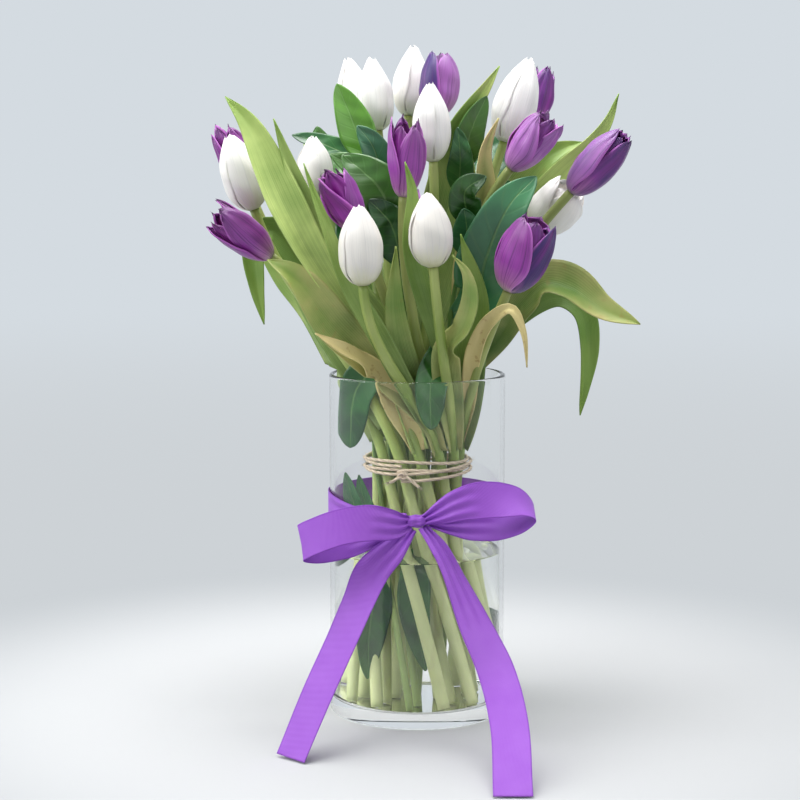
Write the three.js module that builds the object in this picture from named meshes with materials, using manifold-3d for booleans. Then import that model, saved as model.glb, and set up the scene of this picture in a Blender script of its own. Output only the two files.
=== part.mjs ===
// Twenty cut tulips, ten white and ten purple, with sprigs of dark greenery, tied with
// jute twine and standing in a clear glass cylinder with a ribbon bow round it.
// Millimetres, +Z up. The origin is the centre of the vase's flat underside, and the
// bow is on the -Y side, which is the front.

import * as THREE from 'three';
import { LoftGeometry } from 'three/addons/geometries/LoftGeometry.js';
import { mergeVertices } from 'three/addons/utils/BufferGeometryUtils.js';
import Module from 'manifold-3d';

const wasm = await Module();
wasm.setup();

// ---------------------------------------------------------------- driving dimensions

const VASE = { radius: 62.5, height: 243, wall: 3.2, floor: 10, foot: 2, lip: 1.2, sides: 48 };
const WATER_LEVEL = 116;
const GAP = 0.3; // clearance between neighbouring pieces
const TRIM = 0.35; // clearance left where a leaf is notched round its neighbour

// The bunch is spiralled: each stem crosses the tie at its own slot, on one of three
// rings, and its foot is turned round the axis and spread outwards.
const TIE_HEIGHT = 178;
const BUNCH_RADIUS = 34.4; // over the outer stems, at the top of the twine
const TIE_RINGS = [
  { radius: 8, count: 4, start: 20 },
  { radius: 19, count: 9, start: 0 },
  { radius: 29.5, count: 13, start: 0 },
];
const FOOT_SPREAD = 1.6;
const FOOT_TURN = 70; // degrees, anticlockwise from above
const STEM_BOW = 0.36; // reach of the stem's end tangents, as a share of tie to bloom

const TULIP_STEM = { footRadius: 4.2, topRadius: 3.3, sides: 6 };
const SPRIG_STEM = { footRadius: 2.3, topRadius: 1.6, sides: 6 };
const LEAF = { thickness: 1.4, fold: 0.28, sections: 8 };
const BLADE_SHAPE = { base: 0.3, widest: 0.42, taper: 2.6, point: 0.9 };
const OVAL_SHAPE = { base: 0.14, widest: 0.42, taper: 2.6, point: 0.8 };

const BLOOM_SIDES = 10;
// Share of the bloom's length, and its radius as a share of half the bloom's width.
const BLOOM_PROFILE = [[0, 0.26], [0.1, 0.68], [0.35, 1], [0.62, 0.94], [0.85, 0.66], [1, 0.2]];

const TWINE = { radius: 1.2, turns: 4, pitch: 3.3, slant: 1.6, sides: 6, stepsPerTurn: 16 };
const RIBBON = { width: 25, thickness: 0.8, height: 147, across: [1, 0.5, 0, -0.5, -1] };
const KNOT = { x: -1, z: 149, radius: 6, halfLength: 7.6, sides: 12 };

// ---------------------------------------------------------------- layout

// name, tie slot, foot of the bloom, tip of the bloom, bloom width, openness 0 to 1
const TULIPS = [
  ['white_01', 22, [-114, -12, 359], [-131, -16, 410], 31, 0.1],
  ['white_02', 10, [-71, 16, 365], [-74, 16, 410], 27, 0.1],
  ['white_03', 19, [-40, 76, 414], [-51, 84, 468], 27, 0],
  ['white_04', 8, [-28, 42, 414], [-33, 46, 466], 27, 0],
  ['white_05', 7, [-6, 64, 425], [-2, 72, 477], 27, 0],
  ['white_06', 3, [11, -6, 392], [8, -8, 446], 27, 0],
  ['white_07', 6, [62, 30, 406], [81, 34, 466], 31, 0],
  ['white_08', 24, [-37, -76, 310], [-40, -80, 364], 31, 0.1],
  ['white_09', 25, [10, -72, 322], [6, -74, 372], 31, 0.1],
  ['white_10', 14, [84, 16, 344], [108, 6, 375], 32, 0.5],
  ['purple_01', 21, [-119, 28, 368], [-139, 30, 418], 28, 0.1],
  ['purple_02', 23, [-101, -32, 327], [-142, -44, 360], 29, 0.3],
  ['purple_03', 11, [-41, -45, 345], [-61, -52, 387], 29, 0.3],
  ['purple_04', 12, [-10, -38, 368], [-7, -40, 421], 27, 0],
  ['purple_05', 1, [14, 28, 424], [17, 32, 470], 31, 0.4],
  ['purple_06', 16, [85, 68, 417], [96, 76, 460], 27, 0.3],
  ['purple_07', 15, [64, -18, 387], [93, -24, 424], 29, 0.2],
  ['purple_08', 5, [106, -20, 371], [143, -30, 412], 30, 0.3],
  ['purple_09', 13, [61, -55, 305], [81, -62, 353], 38, 0.4],
  ['purple_10', 18, [8, 88, 322], [12, 114, 368], 29, 0.1],
];

// name, tie slot, last leaf joint, end of the twig
const SPRIGS = [
  ['sprig_01', 9, [-36, 18, 392], [-40, 20, 400]],
  ['sprig_02', 2, [-16, -14, 350], [-18, -16, 360]],
  ['sprig_03', 4, [40, -16, 352], [44, -18, 362]],
  ['sprig_04', 0, [34, 18, 392], [36, 20, 402]],
  ['sprig_05', 20, [-56, 62, 372], [-62, 68, 382]],
  ['sprig_06', 17, [52, 66, 376], [58, 74, 386]],
];

// plant, height where the leaf leaves its stem, points along its midrib, full width,
// and the way its upper face looks at the base and at the tip
const BLADES = [
  ['purple_02', 215, [[-26, -40, 265], [-49, -48, 294], [-71, -52, 326], [-89, -52, 360],
    [-115, -42, 416], [-131, -38, 436]], 31, [0.3, -1, 0.2], [0.5, -1, 0.3]],
  ['purple_03', 225, [[-28, -38, 277], [-49, -42, 309], [-79, -43, 368], [-98, -44, 421]], 25,
    [0.4, -1, 0], [0.2, -1, 0]],
  ['white_08', 240, [[-26, -56, 272], [-47, -60, 310], [-65, -62, 357], [-77, -58, 391]], 15,
    [0.2, -1, 0], [0.4, -1, 0]],
  ['purple_01', 262, [[-88, 8, 328], [-103, 9, 344], [-114, 4, 334], [-113, -4, 305],
    [-108, -6, 278]], 20, [0, -1, 0.6], [-0.2, -1, 0.1]],
  ['white_08', 225, [[-44, -50, 266], [-58, -56, 281], [-84, -60, 315], [-102, -54, 326]], 32,
    [0.1, -1, 0.4], [0.3, -1, 0.5]],
  ['purple_02', 285, [[-68, -35, 305], [-78, -37, 328], [-84, -36, 347]], 13,
    [0.3, -1, 0.2], [0.3, -1, 0.2]],
  ['purple_02', 196, [[-8, -36, 212], [-18, -43, 232], [-33, -54, 252], [-50, -71, 266],
    [-69, -78, 278]], 22, [0, -1, 0.6], [-0.2, -0.8, 0.8]],
  ['purple_04', 212, [[-6, -36, 250], [-13, -48, 290], [-13, -52, 335]], 24,
    [0, -1, 0], [0.2, -1, 0]],
  ['white_09', 212, [[17, -32, 262], [10, -42, 291], [3, -51, 335], [1, -55, 372], [-8, -58, 391]], 23,
    [0, -1, 0.1], [0, -1, 0]],
  ['white_09', 232, [[20, -50, 264], [30, -66, 281], [35, -74, 300], [32, -80, 318], [22, -84, 331]], 21,
    [0.2, -1, 0.4], [-0.3, -0.8, 0.7]],
  ['purple_09', 222, [[36, -30, 262], [40, -40, 300], [29, -46, 343]], 25,
    [0, -1, 0], [0.1, -1, 0]],
  ['purple_09', 238, [[38, -46, 262], [48, -66, 285], [62, -76, 294], [70, -78, 280], [73, -77, 255]], 12,
    [0, -1, 0.7], [0.3, -1, 0.3]],
  ['purple_08', 240, [[62, -8, 267], [75, -14, 291], [92, -22, 307], [105, -28, 305], [126, -36, 291],
    [153, -42, 281]], 32, [0.1, -1, 0.5], [0.2, -0.9, 0.7]],
  ['white_10', 255, [[83, 6, 290], [101, 2, 297], [116, -4, 287], [120, -8, 262], [115, -12, 214]], 21,
    [0.1, -0.8, 0.7], [0.4, -1, 0]],
  ['purple_06', 290, [[76, 36, 350], [102, 28, 382], [125, 23, 405], [136, 22, 421], [143, 22, 440]], 18,
    [0.2, -1, 0.3], [0.4, -1, 0.4]],
  ['white_07', 322, [[66, 40, 360], [89, 42, 390], [104, 45, 400], [121, 46, 406]], 22,
    [0, -1, 0.5], [0, -1, 0.6]],
  ['purple_05', 330, [[17, 14, 372], [28, 14, 412], [49, 14, 445], [58, 18, 459]], 19,
    [0, -1, 0], [0.3, -1, 0.2]],
  ['purple_07', 325, [[46, -12, 372], [47, -15, 400], [56, -14, 422]], 14,
    [0, -1, 0], [0.6, -0.8, 0]],
  ['white_06', 285, [[22, 4, 330], [34, 14, 380], [30, 14, 420]], 20,
    [0.2, -1, 0], [0.2, -1, 0]],
  ['purple_10', 230, [[-22, 60, 280], [-40, 92, 330], [-52, 108, 372]], 27,
    [0.1, 1, 0.2], [0, 1, 0.3]],
  ['purple_10', 215, [[12, 60, 262], [44, 92, 300], [70, 110, 318], [84, 116, 296]], 28,
    [0, 1, 0.6], [0.2, 1, 0.6]],
  ['white_03', 240, [[-50, 62, 310], [-72, 82, 365], [-84, 90, 405]], 26,
    [-0.3, 1, 0], [0, 1, 0.2]],
  ['purple_06', 240, [[52, 66, 290], [84, 86, 335], [104, 92, 372]], 27,
    [0.3, 1, 0.2], [0, 1, 0.3]],
  ['purple_01', 240, [[-72, 32, 280], [-104, 52, 314], [-130, 60, 316], [-144, 58, 294]], 28,
    [-0.2, 0.6, 0.8], [-0.4, 0.6, 0.7]],
  ['white_04', 235, [[-10, 58, 300], [-14, 86, 360], [-20, 98, 400]], 23,
    [0.1, 1, 0], [0, 1, 0.1]],
  ['white_10', 232, [[66, 36, 270], [100, 52, 300], [128, 54, 292]], 26,
    [0.2, 0.6, 0.8], [0.3, 0.6, 0.7]],
  ['white_02', 240, [[-56, 16, 290], [-84, 40, 340], [-98, 56, 372]], 23,
    [-0.5, 1, 0.2], [-0.2, 1, 0.2]],
  ['white_05', 250, [[8, 56, 320], [22, 72, 380], [30, 84, 412]], 22,
    [0, 1, 0], [0.2, 1, 0]],
  ['purple_08', 222, [[44, 24, 262], [72, 50, 310], [90, 60, 352]], 24,
    [0.6, 1, 0.2], [0.4, 1, 0.2]],
  ['white_01', 250, [[-74, 2, 292], [-104, 34, 340], [-120, 44, 352]], 22,
    [-0.5, 1, 0.2], [-0.3, 1, 0.4]],
];

// The same columns for the oval leaves of the greenery sprigs.
const OVALS = [
  ['sprig_01', 388, [[-46, 20, 421], [-57, 24, 447]], 22, [0.2, -1, 0.1], [0.3, -1, 0.2]],
  ['sprig_01', 368, [[-50, 30, 396], [-72, 34, 406], [-90, 38, 411]], 18, [0, -1, 0.6], [0, -1, 0.6]],
  ['sprig_01', 360, [[-30, -4, 400], [-42, -6, 417]], 22, [0.2, -1, 0], [0.2, -1, 0.2]],
  ['sprig_01', 345, [[-46, 0, 388], [-61, -2, 397]], 22, [0, -0.9, 0.5], [0, -0.9, 0.5]],
  ['sprig_02', 340, [[-26, -24, 373], [-52, -22, 397]], 32, [0.1, -1, 0.3], [0.3, -0.9, 0.4]],
  ['sprig_02', 318, [[-19, -27, 350], [-34, -30, 366]], 26, [0.2, -1, 0.2], [0.2, -1, 0.2]],
  ['sprig_03', 285, [[42, -26, 299], [46, -32, 322], [62, -42, 362], [81, -38, 382]], 36, [0, -1, 0.2],
    [0.2, -1, 0.5]],
  ['sprig_03', 326, [[34, -22, 344], [32, -27, 360]], 20, [0, -1, 0.2], [0, -1, 0.2]],
  ['sprig_03', 345, [[33, -26, 372], [47, -32, 382]], 20, [-0.2, -1, 0.3], [0, -1, 0.3]],
  ['sprig_03', 262, [[18, -30, 250], [10, -36, 232], [2, -34, 214]], 24, [0.2, -1, 0.2], [0, -1, 0]],
  ['sprig_04', 382, [[38, 10, 414], [49, 12, 438]], 19, [0.3, -1, 0], [0.3, -1, 0.2]],
  ['sprig_04', 366, [[30, 0, 396], [28, 0, 416]], 17, [0, -1, 0], [0, -1, 0]],
  ['sprig_04', 340, [[44, 12, 362], [66, 8, 378]], 24, [0, -0.8, 0.6], [0, -0.8, 0.6]],
  ['sprig_05', 366, [[-68, 76, 396], [-74, 82, 418]], 24, [-0.2, 1, 0.2], [-0.2, 1, 0.2]],
  ['sprig_05', 345, [[-70, 62, 366], [-94, 70, 376]], 26, [0, 0.8, 0.7], [0, 0.8, 0.7]],
  ['sprig_05', 325, [[-48, 68, 344], [-58, 90, 352]], 26, [-0.3, 0.8, 0.6], [-0.3, 0.8, 0.6]],
  ['sprig_05', 300, [[-56, 44, 318], [-80, 58, 322]], 24, [-0.2, 0.7, 0.8], [-0.2, 0.7, 0.8]],
  ['sprig_06', 370, [[60, 84, 398], [66, 92, 420]], 24, [0.2, 1, 0.2], [0.2, 1, 0.2]],
  ['sprig_06', 350, [[48, 78, 362], [58, 98, 374]], 26, [0, 0.9, 0.6], [0, 0.9, 0.6]],
  ['sprig_06', 325, [[22, 70, 340], [34, 96, 350]], 26, [0, 0.9, 0.6], [0, 0.9, 0.6]],
  ['sprig_06', 300, [[34, 58, 314], [58, 76, 322]], 24, [0.3, 0.9, 0.6], [0.3, 0.9, 0.6]],
  ['sprig_01', 262, [[-34, -24, 246], [-44, -31, 226], [-42, -34, 195]], 24, [-0.3, -1, 0], [-0.1, -1, 0]],
  ['sprig_01', 108, [[-38, -29, 137], [-45, -26, 156], [-50, -22, 175]], 14, [0.1, -1, 0], [0.1, -1, 0]],
  ['sprig_01', 118, [[-32, -26, 142], [-38, -23, 158], [-41, -20, 173]], 12, [0.1, -1, 0], [0.1, -1, 0]],
  ['sprig_05', 112, [[-26, -30, 92], [-33, -34, 57], [-37, -34, 24]], 17, [0.1, -1, 0.1], [0.2, -1, 0]],
  ['sprig_02', 118, [[-1, -32, 105], [2, -38, 80], [9, -41, 31]], 16, [0, -1, 0], [0, -1, 0]],
  ['sprig_04', 84, [[26, 30, 60], [34, 36, 34]], 20, [0.3, 1, 0], [0.3, 1, 0]],
  ['sprig_06', 130, [[-34, 36, 112], [-38, 42, 80]], 20, [-0.3, 1, 0], [-0.3, 1, 0]],
];

// Ribbon strips: centre, the way the strip's width runs, and the width there.
const STRIPS = {
  bow_loop_left: [
    [[-9.8, -71, 149], [0, 0, 1], 8], [[-20, -79, 151], [0, 0.2, 1], 17],
    [[-32, -85, 152], [0, 0.35, 0.95], 25], [[-50, -89, 149], [-0.05, 0.42, 0.9], 25],
    [[-68, -89, 143], [-0.15, 0.42, 0.9], 25], [[-79, -82, 136], [-0.2, 0.4, 0.9], 25],
    [[-69, -75, 133], [-0.1, 0.42, 0.9], 25], [[-48, -71.5, 136], [0, 0.42, 0.9], 25],
    [[-22, -69.5, 143.5], [0, 0.2, 1], 16], [[-9.8, -69, 148], [0, 0, 1], 6],
  ],
  bow_loop_right: [
    [[8.7, -71.5, 149.5], [0, 0, 1], 8], [[22, -83, 161], [-0.25, 0.1, 1], 19],
    [[39, -88, 166], [-0.1, 0.2, 1], 25], [[55, -89, 167], [-0.15, 0.5, 0.85], 25],
    [[70, -87, 163], [-0.2, 0.8, 0.5], 25], [[80, -80, 156], [-0.15, 0.85, 0.5], 25],
    [[72, -73, 151], [-0.1, 0.7, 0.7], 25], [[54, -71, 148.5], [0, 0.35, 0.93], 25],
    [[34, -70, 147.5], [0, 0.3, 0.95], 22], [[20, -69.5, 147], [0, 0.2, 1], 13],
    [[7.9, -69, 148], [0, 0, 1], 6],
  ],
  ribbon_tail_left: [
    [[-4.5, -71.3, 141.9], [1, -0.1, 0], 7], [[-17, -78, 130], [0.95, -0.2, -0.2], 18],
    [[-31.5, -82, 116], [0.87, -0.35, -0.3], 25], [[-40, -88, 98], [0.8, -0.55, -0.2], 25],
    [[-51.5, -98, 73], [0.79, -0.6, -0.14], 25], [[-67, -113, 41], [0.79, -0.6, -0.14], 25],
    [[-84.5, -130.5, 1.5], [0.79, -0.62, 0], 25],
  ],
  ribbon_tail_right: [
    [[3.5, -71.5, 142.6], [1, 0.2, -0.1], 8], [[13, -79, 130], [0.75, 0.6, 0.3], 14],
    [[24, -86, 112], [0.9, 0.3, 0.3], 23], [[37, -104, 84], [0.9, 0.3, 0.3], 25],
    [[50, -124, 59], [0.85, 0.4, 0.35], 25], [[58, -158, 33], [0.88, 0.3, 0.3], 25],
    [[58, -207, 1], [1, 0, 0], 25],
  ],
};

const PALETTE = {
  glass: { color: 0xe8f0f0, roughness: 0.03, metalness: 0, transparent: true, opacity: 0.3 },
  water: { color: 0xdfeee8, roughness: 0.02, metalness: 0, transparent: true, opacity: 0.35 },
  white: { color: 0xf4f1e6, roughness: 0.55, metalness: 0 },
  purple: { color: 0x7d3590, roughness: 0.5, metalness: 0 },
  stem: { color: 0x93b26a, roughness: 0.5, metalness: 0 },
  foliage: { color: 0x2c5a34, roughness: 0.35, metalness: 0 },
  twine: { color: 0xbfa98c, roughness: 0.95, metalness: 0 },
  ribbon: { color: 0x8f45c9, roughness: 0.4, metalness: 0 },
};

// ---------------------------------------------------------------- helpers

const vector = ([x, y, z]) => new THREE.Vector3(x, y, z);

function solidOf(geometry) {
  const plain = new THREE.BufferGeometry();
  plain.setAttribute('position', geometry.getAttribute('position'));
  plain.setIndex(geometry.index);
  const merged = mergeVertices(plain, 1e-4);
  return new wasm.Manifold(new wasm.Mesh({
    numProp: 3,
    vertProperties: new Float32Array(merged.attributes.position.array),
    triVerts: new Uint32Array(merged.index.array),
  }));
}

function geometryOf(solid) {
  const mesh = solid.getMesh();
  const geometry = new THREE.BufferGeometry();
  geometry.setAttribute('position', new THREE.BufferAttribute(mesh.vertProperties, 3));
  geometry.setIndex(new THREE.BufferAttribute(mesh.triVerts, 1));
  geometry.computeVertexNormals();
  return geometry;
}

function largestPiece(solid) {
  return solid.decompose().reduce((best, piece) => (piece.volume() > best.volume() ? piece : best));
}

function boxesMeet(a, b) {
  const [p, q] = [a.boundingBox(), b.boundingBox()];
  return [0, 1, 2].every((axis) => p.min[axis] <= q.max[axis] && q.min[axis] <= p.max[axis]);
}

function carve(solid, cutters) {
  return cutters.filter((cutter) => boxesMeet(solid, cutter))
    .reduce((rest, cutter) => rest.subtract(cutter), solid);
}

// A solid of revolution about Z from [radius, height] pairs.
function turned(profile, sides) {
  const points = profile.map(([radius, height]) => new THREE.Vector2(radius, height));
  return new THREE.LatheGeometry(points, sides).rotateX(Math.PI / 2);
}

function capped(sections) {
  return new LoftGeometry(sections, { capStart: true, capEnd: true });
}

// A ring of points round a centre, square to the direction of travel.
function ring(centre, along, radii, sides) {
  const across = new THREE.Vector3(0, 1, 0).cross(along).normalize();
  const up = along.clone().cross(across).normalize();
  return Array.from({ length: sides }, (_, k) => {
    const angle = (2 * Math.PI * k) / sides;
    const radius = radii(angle);
    return centre.clone()
      .addScaledVector(across, radius * Math.cos(angle))
      .addScaledVector(up, radius * Math.sin(angle));
  });
}

// ---------------------------------------------------------------- stems

function tieSlot(index) {
  let first = 0;
  for (const { radius, count, start } of TIE_RINGS) {
    if (index < first + count) {
      const angle = THREE.MathUtils.degToRad(start + (360 * (index - first)) / count);
      return new THREE.Vector3(radius * Math.cos(angle), radius * Math.sin(angle), TIE_HEIGHT);
    }
    first += count;
  }
  throw new Error(`no tie slot ${index}`);
}

// A stem runs straight from its foot, through its slot in the tie, and then along a
// cubic Bezier curve that ends in the direction of its bloom.
function makePlant([name, slot, base, tip, width = 0, openness = 0], stem) {
  const tie = tieSlot(slot);
  const foot = tie.clone().setZ(0).multiplyScalar(FOOT_SPREAD)
    .applyAxisAngle(new THREE.Vector3(0, 0, 1), THREE.MathUtils.degToRad(FOOT_TURN));
  const lean = foot.distanceTo(tie.clone().setZ(0)) / TIE_HEIGHT;
  foot.z = VASE.floor + GAP + stem.footRadius * lean;
  const top = vector(base);
  const axis = vector(tip).sub(top);
  const length = axis.length();
  axis.normalize();
  const reach = STEM_BOW * top.distanceTo(tie);
  const start = tie.clone().sub(foot).normalize();
  const upper = new THREE.CubicBezierCurve3(
    tie, tie.clone().addScaledVector(start, reach), top.clone().addScaledVector(axis, -reach), top);
  return { name, stem, foot, tie, start, upper, top, axis, length, width, openness };
}

function stemGeometry(plant, grow = 0) {
  const { stem, foot, tie, start, upper } = plant;
  const steps = 7;
  const radiusAt = (share) => THREE.MathUtils.lerp(stem.footRadius, stem.topRadius, share) + grow;
  const sections = [ring(foot.clone().addScaledVector(start, -grow), start, () => radiusAt(0), stem.sides),
    ring(tie, start, () => radiusAt(0.4), stem.sides)];
  for (let k = 1; k <= steps; k++) {
    const share = k / steps;
    const along = upper.getTangent(share);
    const past = k === steps ? grow : 0;
    const centre = upper.getPoint(share).addScaledVector(along, past);
    sections.push(ring(centre, along, () => radiusAt(0.4 + 0.6 * share), stem.sides));
  }
  return capped(sections);
}

function pointAtHeight(plant, height) {
  if (height < TIE_HEIGHT) {
    const share = (height - plant.foot.z) / (TIE_HEIGHT - plant.foot.z);
    return plant.foot.clone().lerp(plant.tie, share);
  }
  let [low, high] = [0, 1];
  for (let k = 0; k < 30; k++) {
    const middle = (low + high) / 2;
    if (plant.upper.getPoint(middle).z < height) low = middle;
    else high = middle;
  }
  return plant.upper.getPoint(low);
}

// ---------------------------------------------------------------- leaves

// Half the leaf's width along its length: it opens to its widest share, then tapers.
function halfWidth(share, width, shape) {
  const opening = Math.sin((Math.min(share / shape.widest, 1) * Math.PI) / 2);
  const closing = Math.pow(1 - Math.pow(share, shape.taper), shape.point);
  return Math.max(0.4, (width / 2) * (shape.base + (1 - shape.base) * opening) * closing);
}

// A leaf is a shallow V in section: two edges lifted above a midrib.
function leafGeometry(plant, [, height, points, width, faceBase, faceTip], shape, grow = 0) {
  const spine = new THREE.CatmullRomCurve3(
    [pointAtHeight(plant, height), ...points.map(vector)], false, 'centripetal');
  const sections = [];
  for (let k = 0; k <= LEAF.sections; k++) {
    const share = k / LEAF.sections;
    const along = spine.getTangentAt(share);
    const face = vector(faceBase).lerp(vector(faceTip), share);
    const side = along.clone().cross(face).normalize();
    const up = along.clone().cross(side).negate();
    const half = halfWidth(share, width, shape) + grow;
    const lift = LEAF.fold * half;
    const thick = (share < 1 ? LEAF.thickness / 2 : 0.3) + grow;
    const centre = spine.getPointAt(share).addScaledVector(along, share === 1 ? grow : 0);
    const place = (across, above) => centre.clone().addScaledVector(side, across).addScaledVector(up, above);
    sections.push([place(half, lift), place(0, -thick), place(-half, lift), place(0, thick)]);
  }
  return leafSkin(sections);
}

// The skin over a leaf's sections of edge, underside, edge and top. On each side of the
// midrib both faces bend along the same diagonal, the shorter one, so they never cross.
function leafSkin(sections) {
  const index = [0, 2, 1, 0, 3, 2];
  const middles = sections.map(([, under, , top]) => under.clone().lerp(top, 0.5));
  for (let k = 0; k + 1 < sections.length; k++) {
    for (let j = 0; j < 4; j++) {
      const edge = j % 3 === 0 ? 0 : 2;
      const outwards = sections[k][edge].distanceTo(middles[k + 1])
        < middles[k].distanceTo(sections[k + 1][edge]);
      const [a, b] = [4 * k + j, 4 * k + ((j + 1) % 4)];
      const [d, c] = [a + 4, b + 4];
      index.push(...(outwards === (j % 2 === 0) ? [a, b, c, a, c, d] : [a, b, d, b, c, d]));
    }
  }
  const last = 4 * (sections.length - 1);
  index.push(last, last + 1, last + 2, last, last + 2, last + 3);
  return new THREE.BufferGeometry().setFromPoints(sections.flat()).setIndex(index);
}

// ---------------------------------------------------------------- blooms

function bloomGeometry(plant, grow = 0) {
  const { top, axis, length, width, openness } = plant;
  const sections = BLOOM_PROFILE.map(([share, swell]) => {
    const flare = openness * Math.pow(share, 3) * 0.5;
    const past = share === 1 ? grow : share === 0 ? GAP - grow : GAP;
    const centre = top.clone().addScaledVector(axis, share * length + past);
    const radii = (angle) => (width / 2) * (swell + flare) * (1 + 0.05 * Math.cos(3 * angle)) + grow;
    return ring(centre, axis, radii, BLOOM_SIDES);
  });
  return capped(sections);
}

// ---------------------------------------------------------------- ribbon and twine

function stripGeometry(stations) {
  const centres = new THREE.CatmullRomCurve3(stations.map(([centre]) => vector(centre)), false, 'centripetal');
  const spans = stations.length - 1;
  const steps = spans * 3;
  const sections = [];
  for (let k = 0; k <= steps; k++) {
    const place = (k / steps) * spans;
    const index = Math.min(Math.floor(place), spans - 1);
    const blend = place - index;
    const [, sideA, widthA] = stations[index];
    const [, sideB, widthB] = stations[index + 1];
    const along = centres.getTangent(k / steps);
    const side = vector(sideA).lerp(vector(sideB), blend);
    side.addScaledVector(along, -side.dot(along)).normalize();
    const up = along.clone().cross(side);
    const half = THREE.MathUtils.lerp(widthA, widthB, blend) / 2;
    const centre = centres.getPoint(k / steps);
    const face = (above) => RIBBON.across.map((share) => centre.clone()
      .addScaledVector(side, share * half).addScaledVector(up, above * (RIBBON.thickness / 2)));
    sections.push([...face(1), ...face(-1).reverse()]);
  }
  return capped(sections);
}

function bandGeometry() {
  const inner = VASE.radius + GAP;
  const outer = inner + RIBBON.thickness;
  const [low, high] = [RIBBON.height - RIBBON.width / 2, RIBBON.height + RIBBON.width / 2];
  return turned([[inner, low], [outer, low], [outer, high], [inner, high], [inner, low]], VASE.sides);
}

function knotGeometry() {
  const { radius, halfLength, sides } = KNOT;
  const profile = [[0, -1], [0.72, -1], [1, -0.55], [0.94, 0], [1, 0.55], [0.72, 1], [0, 1]];
  const front = -(VASE.radius + 2 * GAP + RIBBON.thickness + radius);
  return turned(profile.map(([share, place]) => [share * radius, place * halfLength]), sides)
    .rotateY(Math.PI / 2).translate(KNOT.x, front, KNOT.z);
}

// Loose turns round the bunch, all slanting the same way, with a small front knot.
class TwinePath extends THREE.Curve {
  constructor(radius) {
    super();
    this.radius = radius;
  }

  getPoint(share, target = new THREE.Vector3()) {
    const angle = 2 * Math.PI * TWINE.turns * share - Math.PI / 2 - 0.3;
    const climb = TWINE.pitch * TWINE.turns * (share - 0.5);
    const height = TIE_HEIGHT + 1 + climb + TWINE.slant * Math.sin(angle + 0.6);
    return target.set(this.radius * Math.cos(angle), this.radius * Math.sin(angle), height);
  }
}

function roundSection(radius, sides) {
  return new THREE.Shape(Array.from({ length: sides }, (_, k) => {
    const angle = (2 * Math.PI * k) / sides;
    return new THREE.Vector2(radius * Math.cos(angle), radius * Math.sin(angle));
  }));
}

function tube(path, radius, sides, steps) {
  return new THREE.ExtrudeGeometry(roundSection(radius, sides), { steps, extrudePath: path, bevelEnabled: false });
}

function twineSolid() {
  const radius = BUNCH_RADIUS + GAP + TWINE.radius;
  const turns = tube(new TwinePath(radius), TWINE.radius, TWINE.sides, TWINE.turns * TWINE.stepsPerTurn);
  const front = -radius - TWINE.radius;
  const knot = new THREE.SphereGeometry(2.6, 8, 6).translate(-10, front + 2.4, TIE_HEIGHT - 3);
  const ends = [[[-10, front + 1, 175], [-15, front - 2, 172.5], [-19, front - 2.5, 171]],
    [[-10, front + 1, 175], [-4, front - 3, 171.5], [1, front - 4, 167.5]]]
    .map((points) => tube(new THREE.CatmullRomCurve3(points.map(vector)), TWINE.radius, TWINE.sides, 4));
  return [knot, ...ends].reduce((solid, piece) => solid.add(solidOf(piece)), solidOf(turns));
}

// ---------------------------------------------------------------- assembly

function glassProfile(grow = 0) {
  const { radius, height, wall, floor, foot, lip } = VASE;
  const inner = radius - wall;
  return [
    [0, 0], [radius - foot, 0], [radius + grow, foot], [radius + grow, height - lip],
    [radius - lip, height + grow], [inner + lip, height + grow], [inner - grow, height - lip],
    [inner - grow, floor + 3], [inner - 3, floor], [0, floor],
  ];
}

function waterSolid(cutters) {
  const radius = VASE.radius - VASE.wall - GAP;
  const low = VASE.floor + GAP;
  const profile = [[0, low], [radius - 3, low], [radius, low + 3], [radius, WATER_LEVEL], [0, WATER_LEVEL]];
  return largestPiece(carve(solidOf(turned(profile, VASE.sides)), cutters));
}

const vase = new THREE.Group();

function addPiece(name, geometry, finish) {
  const piece = new THREE.Mesh(geometry, new THREE.MeshStandardMaterial(finish));
  piece.name = name;
  vase.add(piece);
}

const tulips = TULIPS.map((row) => makePlant(row, TULIP_STEM));
const sprigs = SPRIGS.map((row) => makePlant(row, SPRIG_STEM));
const plants = new Map([...tulips, ...sprigs].map((plant) => [plant.name, plant]));
for (const plant of plants.values()) {
  plant.solid = solidOf(stemGeometry(plant));
  plant.clearance = [solidOf(stemGeometry(plant, TRIM))];
}

const bloomClearance = tulips.map((plant) => solidOf(bloomGeometry(plant, TRIM)));
const twine = twineSolid();
const tieClearance = solidOf(turned([
  [BUNCH_RADIUS, TIE_HEIGHT - 11], [BUNCH_RADIUS + 6, TIE_HEIGHT - 11],
  [BUNCH_RADIUS + 6, TIE_HEIGHT + 11], [BUNCH_RADIUS, TIE_HEIGHT + 11], [BUNCH_RADIUS, TIE_HEIGHT - 11],
], VASE.sides));
const fixed = [...bloomClearance, tieClearance, solidOf(turned(glassProfile(TRIM), VASE.sides))];

// Each leaf is notched round whatever stood there before it, and grown onto its stem.
const leaves = [...BLADES.map((row) => [row, BLADE_SHAPE]), ...OVALS.map((row) => [row, OVAL_SHAPE])];
for (const [row, shape] of leaves) {
  const owner = plants.get(row[0]);
  const others = [...plants.values()].filter((plant) => plant !== owner).flatMap((plant) => plant.clearance);
  const leaf = carve(solidOf(leafGeometry(owner, row, shape)), [...fixed, ...others]);
  owner.solid = largestPiece(owner.solid.add(leaf));
  owner.clearance.push(solidOf(leafGeometry(owner, row, shape, TRIM)));
}

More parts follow.
